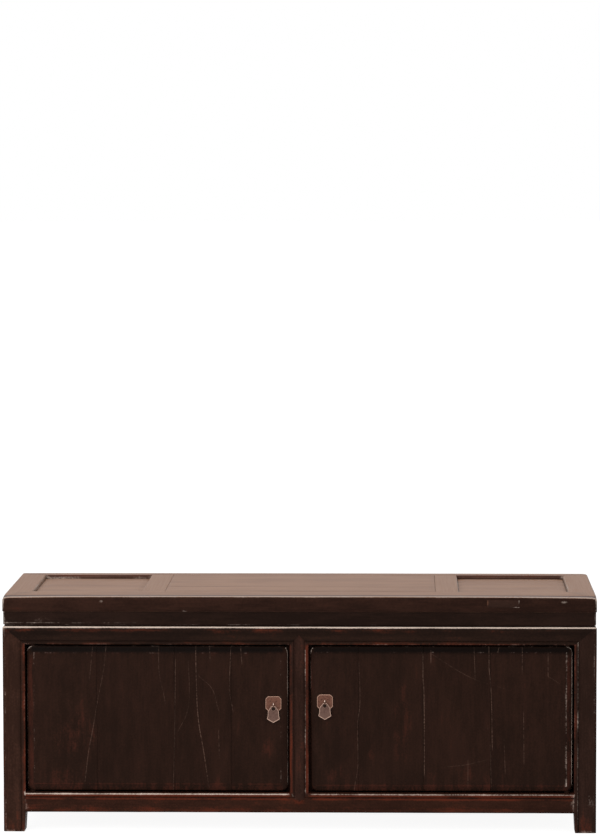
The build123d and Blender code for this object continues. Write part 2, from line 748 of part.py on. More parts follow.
def door_battens():
    """The two battens dovetailed across the back of a door."""
    x0 = INNER_LEFT + DOOR_SIDE_GAP + DOOR_BATTEN_END
    x1 = -STILE_W / 2 - DOOR_SIDE_GAP - DOOR_BATTEN_END
    z0 = SILL_Z + DOOR_BOTTOM_GAP + DOOR_BATTEN_INSET
    z1 = HEAD_Z - DOOR_TOP_GAP - DOOR_BATTEN_INSET
    half = DOOR_BATTEN_H / 2
    mouth = half - DOOR_BATTEN_FLARE
    inside = DOOR_BACK - DOOR_BATTEN_HOUSING
    proud = inside + DOOR_BATTEN_T
    battens = Part()
    for z in (z0 + half, z1 - half):
        outline = [
            (inside, z - half),
            (DOOR_BACK, z - mouth),
            (DOOR_BACK, z - half),
            (proud, z - half),
            (proud, z + half),
            (DOOR_BACK, z + half),
            (DOOR_BACK, z + mouth),
            (inside, z + half),
        ]
        battens += prism_along_x(outline, x0, x1)
    return battens


def plate(x, z):
    """The plate behind a pull, with its corners cut off."""
    y = DOOR_FACE - PLATE_T
    piece = block(x - PLATE_W / 2, x + PLATE_W / 2, y, DOOR_FACE, z - PLATE_H / 2, z + PLATE_H / 2)
    return chamfer(piece.edges().filter_by(Axis.Y), PLATE_CHAMFER)


def eye_pin(x, z):
    """The split pin that carries the pull: a ring, a shank through the door and two clinched ends."""
    y = DOOR_FACE - PLATE_T - EYE_STANDOFF
    ring = Pos(x, y, z) * Rot(0, 90, 0) * Torus(EYE_R, EYE_WIRE_R)
    start = y + EYE_R
    reach = DOOR_BACK - start
    shank = Pos(x, start + reach / 2, z) * Rot(90, 0, 0) * Cylinder(SHANK_R, reach)
    half = CLINCH_W / 2
    ends = block(x - half, x + half, DOOR_BACK, DOOR_BACK + CLINCH_T, z - CLINCH_L, z + CLINCH_L)
    return Part() + ring + shank + ends


def pull(x, z_eye):
    """The drop pull, a flat shape that hangs by its hole on the ring of the eye pin."""
    y = DOOR_FACE - PLATE_T - EYE_STANDOFF
    z = z_eye - EYE_R + EYE_WIRE_R + PULL_CLEARANCE - PULL_HOLE_R

    def side_edges(side):
        def at(point):
            return Vector(x + side * point[0], y - PULL_T / 2, z + point[1])

        return [
            Edge.make_three_point_arc(at(PULL_HEAD), at(PULL_CROWN), at(PULL_NECK)),
            Edge.make_line(at(PULL_NECK), at(PULL_SHOULDER)),
            Edge.make_three_point_arc(at(PULL_SHOULDER), at(PULL_HIP), at(PULL_WAIST)),
            Edge.make_three_point_arc(at(PULL_WAIST), at(PULL_SKIRT), at(PULL_CORNER)),
            Edge.make_line(at(PULL_CORNER), at(PULL_HEEL)),
            Edge.make_line(at(PULL_HEEL), at(PULL_TIP)),
        ]

    outline = Wire(side_edges(1) + side_edges(-1))
    leaf = Part() + Solid.extrude(Face(outline), Vector(0, PULL_T, 0))
    return leaf - Pos(x, y, z) * Rot(90, 0, 0) * Cylinder(PULL_HOLE_R, 2 * PULL_T)


def door(planks, plate_drop, eye_drop):
    """All pieces of a door that is hung on the left."""
    plate_z = HEAD_Z - DOOR_TOP_GAP - plate_drop
    eye_z = plate_z - eye_drop
    x = -STILE_W / 2 - DOOR_SIDE_GAP - PLATE_FROM_EDGE
    pin = eye_pin(x, eye_z)
    battens = door_battens()
    board = door_board() - battens - pin
    x0 = INNER_LEFT + DOOR_SIDE_GAP
    joints = [x0]
    for width in planks:
        joints.append(joints[-1] + width)
    joints.append(-STILE_W / 2 - DOOR_SIDE_GAP)
    pieces = {}
    for i in range(len(joints) - 1):
        strip = block(joints[i], joints[i + 1], FRONT, DOOR_BACK, 0, CARCASS_TOP)
        pieces[f"door_left_plank_{i + 1}"] = board & strip
    pieces["door_left_battens"] = battens
    pieces["door_left_plate"] = plate(x, plate_z) - pin
    pieces["door_left_eye_pin"] = pin
    pieces["door_left_pull"] = pull(x, eye_z)
    return pieces


def build():
    """Every piece of the cabinet by its node name."""
    body = carcass_body()
    bearers = floor_bearers()
    floor = floor_sheet()
    side_slot = side_panel(PANEL_EDGE_GAP)
    back_slots = both(back_panel(PANEL_EDGE_GAP))
    back_centre = back_stile(back_slots)
    side_joints = [
        side_slot,
        side_top_space(),
        side_tenons(HEAD_Z, CARCASS_TOP),
        side_tenons(FOOT_H, SILL_Z),
    ]
    front_joints = [front_top_space(), front_tenons(HEAD_Z, CARCASS_TOP), front_tenons(FOOT_H, SILL_Z)]
    back_joints = [back_slots, back_tenons(HEAD_Z, CARCASS_TOP), back_tenons(FOOT_H, SILL_Z)]

    pieces = {
        "front_top_rail": front_top_rail(body),
        "front_bottom_rail": front_bottom_rail(floor, bearers),
        "front_centre_stile": front_stile(),
        "side_top_rail_left": side_top_rail(body, side_slot),
        "side_bottom_rail_left": side_bottom_rail(side_slot, floor),
        "side_panel_left": side_panel(),
        "back_centre_stile": back_centre,
        "back_panel_left": back_panel(),
        "back_top_rail": back_rail(body, HEAD_Z, CARCASS_TOP, back_slots, back_centre),
        "back_bottom_rail": back_rail(
            body, FOOT_H, SILL_Z, back_slots, back_centre, floor, bearers
        ),
        "post_front_left": post(body, FRONT, [*front_joints, *side_joints]),
        "post_back_left": post(body, BACK - POST, [*back_joints, *side_joints]),
    }
    for name in [n for n in pieces if n.endswith("_left")]:
        pieces[opposite(name)] = mirrored(pieces[name])

    for board_name, board in zip(("front", "middle", "back"), floor_boards(floor)):
        pieces[f"floor_board_{board_name}"] = board
    pieces["floor_bearers"] = bearers
    pieces.update(waist_boards(waist_body()))

    posts = both(pieces["post_front_left"] + pieces["post_back_left"])
    batten = top_panel_batten()
    patch = front_patch()
    slots = both(top_panel(PANEL_EDGE_GAP))
    pieces.update(top_frame(top_body(), posts, slots, both(batten), patch))
    pieces["top_panel_left"] = top_panel() - batten
    pieces["top_panel_right"] = mirrored(pieces["top_panel_left"])
    pieces["top_panel_batten_left"] = batten
    pieces["top_panel_batten_right"] = mirrored(batten)
    pieces["front_patch"] = patch
    pieces.update(lid())

    pieces.update(door(LEFT_PLANKS, PLATE_DROP_LEFT, EYE_DROP_LEFT))
    for name, piece in door(RIGHT_PLANKS, PLATE_DROP_RIGHT, EYE_DROP_RIGHT).items():
        pieces[opposite(name)] = mirrored(piece)
    return pieces


os.makedirs("parts", exist_ok=True)
for node, shape in build().items():
    export_step(shape, f"parts/{node}.step")
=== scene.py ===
"""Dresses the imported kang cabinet: its members, doors and metalwork, their finishes and the studio.

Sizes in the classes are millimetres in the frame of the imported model: +X to the
right of someone facing the doors, +Y to the back, +Z up, the origin on the floor.
A finished piece is scaled to metres and rides on a body of the frame.
"""

import logging
import math
from collections.abc import Callable, Iterable, Iterator, Sequence
from dataclasses import dataclass, field
from enum import Enum

import bmesh
import bpy
from mathutils import Matrix, Vector, noise

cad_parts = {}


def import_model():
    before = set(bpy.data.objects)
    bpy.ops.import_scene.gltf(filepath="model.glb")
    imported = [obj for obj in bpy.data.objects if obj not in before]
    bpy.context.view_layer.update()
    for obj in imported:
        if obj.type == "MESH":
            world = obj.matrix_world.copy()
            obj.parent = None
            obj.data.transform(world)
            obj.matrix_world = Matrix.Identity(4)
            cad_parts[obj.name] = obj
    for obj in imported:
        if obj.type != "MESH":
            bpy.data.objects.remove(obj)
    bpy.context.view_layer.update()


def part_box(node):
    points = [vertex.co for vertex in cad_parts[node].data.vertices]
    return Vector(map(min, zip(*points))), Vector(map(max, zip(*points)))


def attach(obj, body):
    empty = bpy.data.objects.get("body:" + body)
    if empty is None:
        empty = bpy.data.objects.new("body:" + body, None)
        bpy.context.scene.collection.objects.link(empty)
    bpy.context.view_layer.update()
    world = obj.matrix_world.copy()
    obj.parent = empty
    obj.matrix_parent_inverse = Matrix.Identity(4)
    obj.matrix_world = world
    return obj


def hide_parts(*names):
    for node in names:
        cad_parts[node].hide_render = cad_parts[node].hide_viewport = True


MM = 0.001
NEAR = 0.02  # mm within which a vertex counts as lying on a line or a plane
ON_CUT = 1e-4  # mm within which a saw finds a vertex on its plane
MERGE = 1e-3  # mm within which two vertices are made one
STEEPNESS = 1.5  # wear is full over the inner third of its reach and falls off from there
UPRIGHT = 0.6  # how far the normal of an upright face may lean up or down
LOG = logging.getLogger("cabinet")

Point = tuple[float, float, float]
Flat = tuple[float, float]
Colour = tuple[float, float, float, float]
Socket = bpy.types.NodeSocket
Material = bpy.types.Material


def srgb(red: int, green: int, blue: int) -> Colour:
    """Turns an 8-bit sRGB colour into a linear colour with full alpha."""
    linear = []
    for channel in (red, green, blue):
        share = channel / 255
        linear.append(share / 12.92 if share <= 0.04045 else ((share + 0.055) / 1.055) ** 2.4)
    return (*linear, 1.0)


def clamp(value: float) -> float:
    """Holds a number between 0 and 1."""
    return max(0.0, min(1.0, value))


def on_axis(axis: int, value: float) -> Point:
    """A point or a direction that has a value on one axis and none on the others."""
    return tuple(value if index == axis else 0.0 for index in range(3))


def round_trip(ring: Sequence) -> Iterable[tuple]:
    """Each point of a ring with the one that follows it."""
    return zip(ring, [*ring[1:], ring[0]])


class Grain(Enum):
    """The axis that the grain of a member runs along."""

    ALONG_X = 0
    ALONG_Y = 1
    ALONG_Z = 2


class Hand(Enum):
    """The side of the cabinet that one of a pair belongs to, with its sign on X."""

    LEFT = -1
    RIGHT = 1

    @property
    def word(self) -> str:
        """The side's name in piece and node names."""
        return self.name.lower()


class Side(Enum):
    """A side of the cabinet, as node names call it."""

    FRONT = "front"
    BACK = "back"
    LEFT = "left"
    RIGHT = "right"

    @property
    def long(self) -> bool:
        """Whether the side runs along X."""
        return self in (Side.FRONT, Side.BACK)


@dataclass(frozen=True)
class Arris:
    """A worn edge or a scored line, from one point to another, with the painted highlight and painted shade
    along it.

    Attributes:
        start: One end.
        end: The other end.
        bare: How far the finish is worn through to pale wood, 0 to 1; on some lines the pale colour is also a
            painted highlight.
        reach: How far from the line the bare wood goes.
        rub: How far the finish round it is rubbed to red-brown.
        rub_reach: How far from the line that goes.
        dirt: How dark the dirt and the painted shade along it are.
        dirt_reach: How far from the line they go.
        fade: What share of the wear is gone at the far end.
    """

    start: Point
    end: Point
    bare: float = 0.0
    reach: float = 2.2
    rub: float = 0.0
    rub_reach: float = 9.0
    dirt: float = 0.0
    dirt_reach: float = 1.4
    fade: float = 0.0

    def marks(self, place: Vector) -> tuple[float, float, float]:
        """Bare wood with painted highlight, rubbed finish, and dirt with painted shade at a point.

        Args:
            place: The point.

        Returns:
            The three amounts, none below 0.
        """
        start, run = Vector(self.start), Vector(self.end) - Vector(self.start)
        along = clamp((place - start).dot(run) / max(run.length_squared, 1e-9))
        gap = (place - start - along * run).length
        kept = 1.0 - self.fade * along
        kinds = ((self.bare, self.reach), (self.rub, self.rub_reach), (self.dirt, self.dirt_reach))
        return tuple(kept * amount * clamp(STEEPNESS * (1.0 - gap / reach)) for amount, reach in kinds)


def across(xs: Flat, y: float, z: float, **wear: float) -> Arris:
    """An arris that runs along X, from the first of two places to the second."""
    return Arris((xs[0], y, z), (xs[1], y, z), **wear)


def inward(x: float, ys: Flat, z: float, **wear: float) -> Arris:
    """An arris that runs along Y."""
    return Arris((x, ys[0], z), (x, ys[1], z), **wear)


def upright(x: float, y: float, zs: Flat, **wear: float) -> Arris:
    """An arris that runs along Z."""
    return Arris((x, y, zs[0]), (x, y, zs[1]), **wear)


def spot(place: Point, **wear: float) -> Arris:
    """A worn or dirty spot."""
    return Arris(place, place, **wear)


@dataclass(frozen=True)
class Groove:
    """The section of a V groove worked beside an edge."""

    width: float = 2.0
    depth: float = 1.3


class Workpiece:
    """A block that is sawn, eased, scored and worn with bmesh operators."""

    def __init__(self, low: Point | None = None, high: Point | None = None) -> None:
        """Starts from a box between two corners, or from nothing.

        Args:
            low: The box's lowest corner.
            high: Its highest corner.
        """
        self.bm = bmesh.new()
        if low is not None and high is not None:
            middle = (Vector(low) + Vector(high)) / 2
            size = Vector(high) - Vector(low)
            place = Matrix.Translation(middle) @ Matrix.Diagonal((*size, 1.0))
            bmesh.ops.create_cube(self.bm, size=1.0, matrix=place)

    def copy(self) -> "Workpiece":
        """Another workpiece of the same shape."""
        other = Workpiece()
        other.bm.free()
        other.bm = self.bm.copy()
        return other

    def everything(self) -> list:
        """All vertices, edges and faces."""
        return [*self.bm.verts, *self.bm.edges, *self.bm.faces]

    def join(self, other: "Workpiece") -> "Workpiece":
        """Takes another workpiece's shape into this one."""
        mesh = bpy.data.meshes.new("joining")
        other.bm.to_mesh(mesh)
        self.bm.from_mesh(mesh)
        bpy.data.meshes.remove(mesh)
        return self

    def saw(self, point: Point, away: Point, closed: bool = True) -> "Workpiece":
        """Cuts the piece along a plane.

        Args:
            point: A point of the plane.
            away: The side that is dropped.
            closed: Whether the cut gets an end face.

        Returns:
            The piece itself.
        """
        bmesh.ops.bisect_plane(
            self.bm,
            geom=self.everything(),
            dist=ON_CUT,
            plane_co=point,
            plane_no=Vector(away).normalized(),
            clear_outer=True,
        )
        if closed:
            rim = [edge for edge in self.bm.edges if edge.is_boundary]
            bmesh.ops.holes_fill(self.bm, edges=rim, sides=0)
        return self

    def edges_where(self, test: Callable[[Vector], bool]) -> list:
        """The edges both of whose ends pass a test."""
        return [edge for edge in self.bm.edges if all(test(vert.co) for vert in edge.verts)]

    def edges_at(self, x: float | None = None, y: float | None = None, z: float | None = None) -> list:
        """The edges that lie on the given coordinates."""
        wanted = [(i, value) for i, value in enumerate((x, y, z)) if value is not None]
        return self.edges_where(lambda co: all(abs(co[i] - value) < NEAR for i, value in wanted))

    def edges_along(self, axis: int, least: float = 1.0) -> list:
        """The edges that go further than a little along an axis."""
        return [e for e in self.bm.edges if abs(e.verts[0].co[axis] - e.verts[1].co[axis]) > least]

    def ease(self, edges: list, radius: float, segments: int = 3, clamped: bool = True) -> "Workpiece":
        """Rounds some edges.

        Args:
            edges: The edges.
            radius: The radius of the rounding.
            segments: How many facets it has.
            clamped: Whether it is held back where it would overlap another.

        Returns:
            The piece itself.
        """
        if edges:
            bmesh.ops.bevel(
                self.bm,
                geom=edges,
                offset=radius,
                offset_type="OFFSET",
                segments=segments,
                profile=0.5,
                affect="EDGES",
                material=-1,
                clamp_overlap=clamped,
            )
        return self

    def inset(self, faces: list, *steps: Flat) -> "Workpiece":
        """Insets a region of faces several times.

        Args:
            faces: The faces.
            steps: The width of each inset and how far it is raised, or sunk if negative.

        Returns:
            The piece itself.
        """
        for width, rise in steps:
            bmesh.ops.inset_region(self.bm, faces=faces, thickness=width, depth=rise, use_even_offset=True)
        return self

    def rule(self, axis: int, places: Iterable[float]) -> "Workpiece":
        """Scribes lines square to an axis at several places, without cutting the piece."""
        for at in places:
            bmesh.ops.bisect_plane(
                self.bm,
                geom=self.everything(),
                dist=ON_CUT,
                plane_co=on_axis(axis, at),
                plane_no=on_axis(axis, 1.0),
            )
        return self

    def slices(self, axis: int, step: float) -> "Workpiece":
        """Scribes lines square to an axis at an even step, so that the piece can be worn unevenly."""
        low = min(vert.co[axis] for vert in self.bm.verts)
        high = max(vert.co[axis] for vert in self.bm.verts)
        count = max(1, round((high - low) / step))
        return self.rule(axis, [low + (high - low) * i / count for i in range(1, count)])

    def score(self, axis: int, at: float, face: int, level: float, groove: Groove) -> "Workpiece":
        """Works a V groove into a flat face.

        Args:
            axis: The axis that the groove's place is measured on.
            at: Its middle on that axis.
            face: The axis that the face looks along, towards its low end.
            level: Where the face lies on that axis.
            groove: The groove's section.

        Returns:
            The piece itself.
        """
        self.rule(axis, (at - groove.width / 2, at, at + groove.width / 2))
        for vert in self.bm.verts:
            if abs(vert.co[axis] - at) < NEAR and abs(vert.co[face] - level) < NEAR:
                vert.co[face] += groove.depth
        return self

    def mirrored(self) -> "Workpiece":
        """The same piece on the other side of the cabinet."""
        other = self.copy()
        bmesh.ops.scale(other.bm, vec=(-1.0, 1.0, 1.0), verts=other.bm.verts)
        bmesh.ops.reverse_faces(other.bm, faces=other.bm.faces)
        return other

    def for_hand(self, hand: Hand) -> "Workpiece":
        """The piece, which is made for the left, or its mirror image for the right."""
        return self.mirrored() if hand is Hand.RIGHT else self

    def doubled(self) -> "Workpiece":
        """Saws the piece open at X = 0 and joins what is left of it to its mirror image."""
        self.saw((0, 0, 0), (1, 0, 0), closed=False)
        bmesh.ops.mirror(self.bm, geom=self.everything(), matrix=Matrix(), merge_dist=MERGE, axis="X")
        bmesh.ops.remove_doubles(self.bm, verts=self.bm.verts, dist=MERGE)
        return self

    def move(self, change: Callable[[Vector], Vector]) -> "Workpiece":
        """Moves every vertex by what a function gives for it."""
        for vert in self.bm.verts:
            vert.co += change(vert.co)
        return self

    def hand_work(self, amount: float = 0.22, size: float = 70.0) -> "Workpiece":
        """Takes an uneven little off the surface, always inwards.

        Args:
            amount: The most that is taken off.
            size: How long the unevenness is.

        Returns:
            The piece itself.
        """
        ripple_height, ripple_length, gain = 0.4, 0.23, 0.7
        bmesh.ops.recalc_face_normals(self.bm, faces=self.bm.faces)
        self.bm.normal_update()
        shifts = []
        for vert in self.bm.verts:
            ripple = noise.noise(vert.co / (size * ripple_length))
            wave = noise.noise(vert.co / size) + ripple_height * ripple
            shifts.append(-amount * clamp(0.5 + gain * wave) * vert.normal)
        for vert, shift in zip(self.bm.verts, shifts):
            vert.co += shift
        return self

    def paint(self, arrises: Sequence[Arris] = (), tone: float = 0.0) -> "Workpiece":
        """Stores the wear, the dirt and the painted light and shade of every vertex for the finishes to read.

        Args:
            arrises: The worn edges and scored lines near this piece.
            tone: A number of this piece's own, so that its figure differs from its neighbours'.

        Returns:
            The piece itself.
        """
        layers = [self.bm.verts.layers.float.new(name) for name in ("bare", "rubbed", "dirt", "tone")]
        for vert in self.bm.verts:
            totals = [0.0, 0.0, 0.0]
            for arris in arrises:
                totals = [max(a, b) for a, b in zip(totals, arris.marks(vert.co))]
            for layer, value in zip(layers, (*totals, tone)):
                vert[layer] = value
        return self

    def finish(
        self,
        node: str,
        body: str,
        slot: str,
        material: Material,
        sides: Material | None = None,
        facing: Point = (0.0, 0.0, 0.0),
        angle: float = 40.0,
    ) -> None:
        """Makes the piece an object that stands for its node and rides on a body.

        Args:
            node: The node of the frame that it stands for.
            body: The body that carries it.
            slot: The record's material slot; not used.
            material: The finish.
            sides: The finish of its upright faces, where it is another.
            facing: The way those faces look, or zeros for all ways.
            angle: The angle in degrees above which an edge is drawn sharp.
        """
        bmesh.ops.recalc_face_normals(self.bm, faces=self.bm.faces)
        bmesh.ops.scale(self.bm, vec=(MM, MM, MM), verts=self.bm.verts)
        mesh = bpy.data.meshes.new(f"worked_{node}")
        self.bm.to_mesh(mesh)
        self.bm.free()
        mesh.shade_smooth()
        mesh.set_sharp_from_angle(angle=math.radians(angle))
        mesh.materials.append(material)
        # The faces that look up keep the first finish and the upright ones take the second: on the top that
        # makes the flat faces pale, partly a real fade and partly a painted sheen.
        if sides is not None:
            mesh.materials.append(sides)
            for polygon in mesh.polygons:
                turned = polygon.normal.dot(facing) > -0.5
                polygon.material_index = int(abs(polygon.normal.z) < UPRIGHT and turned)
        piece = bpy.data.objects.new(mesh.name, mesh)
        bpy.context.scene.collection.objects.link(piece)
        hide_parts(node)
        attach(piece, body)
        LOG.info("%s: %d faces on %s", piece.name, len(mesh.polygons), body)


def corners(node: str) -> tuple[Vector, Vector]:
    """The lowest and the highest corner of a node of the frame, in millimetres."""
    low, high = (Vector(corner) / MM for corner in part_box(node))
    return low, high


# Finishes


@dataclass(frozen=True)
class Figure:
    """How coarse a noise is.

    Attributes:
        across: How many features there are in a metre across the grain.
        along: How many there are along it.
        detail: The noise's detail.
    """

    across: float
    along: float
    detail: float = 4.0


class Recipe:
    """The nodes of a material or of the world, written from the coordinates to the output."""

    def __init__(self, owner: bpy.types.ID) -> None:
        """Starts afresh on a material or a world."""
        owner.use_nodes = True
        self.owner = owner
        self.tree = owner.node_tree
        self.tree.nodes.clear()

    def node(self, kind: str, *values: object, **settings: object) -> bpy.types.Node:
        """Adds a node.

        Args:
            kind: The node's type, without ShaderNode.
            values: What goes into its inputs, in their order, as sockets or values, or None.
            settings: The node's own settings.

        Returns:
            The node.
        """
        made = self.tree.nodes.new("ShaderNode" + kind)
        for key, value in settings.items():
            setattr(made, key, value)
        for socket, value in zip(made.inputs, values):
            self.feed(socket, value)
        return made

    def feed(self, socket: Socket, value: object) -> None:
        """Links a socket to an input, or sets its value."""
        if isinstance(value, Socket):
            self.tree.links.new(value, socket)
        elif value is not None:
            socket.default_value = value

    def math(self, operation: str, a: object, b: object = None, c: object = None) -> Socket:
        """A Math node's result."""
        return self.node("Math", a, b, c, operation=operation).outputs[0]

    def times(self, a: object, b: object) -> Socket:
        """A product."""
        return self.math("MULTIPLY", a, b)

    def larger(self, a: object, b: object) -> Socket:
        """The larger of two."""
        return self.math("MAXIMUM", a, b)

    def total(self, *shares: tuple[object, float], start: float = 0.0) -> object:
        """A weighted sum.

        Args:
            shares: Each value with its weight.
            start: What is added to them.

        Returns:
            The sum's socket.
        """
        running: object = start
        for value, weight in shares:
            running = self.math("MULTIPLY_ADD", value, weight, running)
        return running

    def place(self) -> Socket:
        """The point on the object, moved by the piece's own tone so that neighbours differ."""
        point = self.node("TexCoord").outputs["Object"]
        tone = self.attribute("tone")
        shift = self.node("CombineXYZ", tone, self.times(tone, 0.7), self.times(tone, 1.3))
        return self.node("VectorMath", point, shift.outputs[0], operation="ADD").outputs[0]

    def attribute(self, name: str) -> Socket:
        """A number that a piece's vertices carry."""
        return self.node("Attribute", attribute_name=name).outputs["Fac"]

    def streaks(self, point: Socket, grain: Grain, figure: Figure) -> Socket:
        """Noise drawn out along the grain, as a number round 0.5."""
        scale = [figure.across] * 3
        scale[grain.value] = figure.along
        spread = self.node("Mapping", point, None, None, tuple(scale)).outputs[0]
        return self.node("TexNoise", spread, None, 1.0, figure.detail, 0.55).outputs["Fac"]

    def specks(self, point: Socket, per_metre: float, detail: float = 3.0) -> Socket:
        """Noise that is the same in all directions, as a number round 0.5."""
        return self.node("TexNoise", point, None, per_metre, detail, 0.6).outputs["Fac"]

    def remap(
        self, value: object, low: float, high: float, out: Flat = (0.0, 1.0), soft: bool = True
    ) -> Socket:
        """A range of numbers turned into another, held at both ends.

        Args:
            value: The number.
            low: Where the range starts.
            high: Where it ends.
            out: What it is turned into at the start and at the end.
            soft: Whether it eases in and out.

        Returns:
            The new number.
        """
        kind = "SMOOTHSTEP" if soft else "LINEAR"
        return self.node("MapRange", value, low, high, *out, interpolation_type=kind).outputs[0]

    def blend(self, share: object, first: object, second: object) -> Socket:
        """A colour between two."""
        made = self.node("Mix", data_type="RGBA")
        for index, value in ((0, share), (6, first), (7, second)):
            self.feed(made.inputs[index], value)
        return made.outputs[2]

    def bump(self, height: Socket, distance: float, strength: float = 0.5) -> Socket:
        """A normal that follows a height."""
        made = self.node("Bump")
        for key, value in (("Strength", strength), ("Distance", distance), ("Height", height)):
            self.feed(made.inputs[key], value)
        return made.outputs[0]

    def shade(self, colour: object, **sockets: object) -> Material:
        """Ends the recipe with one shader.

        Args:
            colour: The base colour.
            sockets: The shader's other inputs, with _ for a space in their names.

        Returns:
            The finished material.
        """
        shader = self.node("BsdfPrincipled")
        self.feed(shader.inputs["Base Color"], colour)
        for key, value in sockets.items():
            self.feed(shader.inputs[key.replace("_", " ")], value)
        self.node("OutputMaterial", shader.outputs[0])
        return self.owner


@dataclass(frozen=True)
class Scratch:
    """A crack or scratch on a door, as points of (x, z) in millimetres.

    Attributes:
        points: Its points, from the top down, or from the left for one that runs across.
        strength: How pale it is, 0 to 1.
        width: Its width.
        across: Whether it runs across the door and not down it.
    """

    points: tuple[Flat, ...]
    strength: float = 0.5
    width: float = 1.1
    across: bool = False


@dataclass(frozen=True)
class Patch:
    """A soft oval place on the front, rubbed to red-brown or knocked to bare wood."""

    x: float
    z: float
    half_width: float
    half_height: float
    strength: float


@dataclass(frozen=True)
class Lacquer:
    """A lacquer streaked along the grain and worn to a brown ground and to bare wood.

    Attributes:
        grain: The way of the grain.
        name: The material's name.
        ground: Its colour.
        streak: The colour of its streaks.
        rubbed: The colour where it is rubbed.
        bare: The colour of bare wood on the arrises, also used for painted highlights.
        dirt: The colour of dirt and of painted shade.
        fine: The figure of its fibres.
        cloud: The figure of its clouds.
        broad: The figure of its bands.
        specks: How many specks there are in a metre.
        roughness: How matt it is, from the smoothest fibres to the roughest.
        relief: How deep the figure goes, in metres.
        specular: How strongly it reflects.
    """

    grain: Grain
    name: str
    ground: Colour = srgb(30, 18, 13)
    streak: Colour = srgb(40, 24, 18)
    rubbed: Colour = srgb(82, 35, 22)
    bare: Colour = srgb(188, 170, 157)
    dirt: Colour = srgb(13, 7, 5)
    fine: Figure = Figure(380.0, 22.0)
    cloud: Figure = Figure(60.0, 18.0, 3.0)
    broad: Figure = Figure(12.0, 4.0, 2.0)
    specks: float = 280.0
    roughness: Flat = (0.36, 0.5)
    relief: float = 0.0004
    specular: float = 0.02

    def figures(self, recipe: Recipe) -> tuple[Socket, ...]:
        """The noises of its fibres, clouds, bands and specks."""
        point = recipe.place()
        drawn = [recipe.streaks(point, self.grain, figure) for figure in (self.fine, self.cloud, self.broad)]
        return (*drawn, recipe.specks(point, self.specks))

    def surface(self, recipe: Recipe, colour: Socket, fine: Socket, height: Socket) -> Material:
        """Ends the material, matt by its fibres and raised by a height."""
        matt = recipe.remap(fine, 0.3, 0.7, self.roughness)
        normal = recipe.bump(height, self.relief)
        return recipe.shade(colour, Roughness=matt, Normal=normal, Specular_IOR_Level=self.specular)


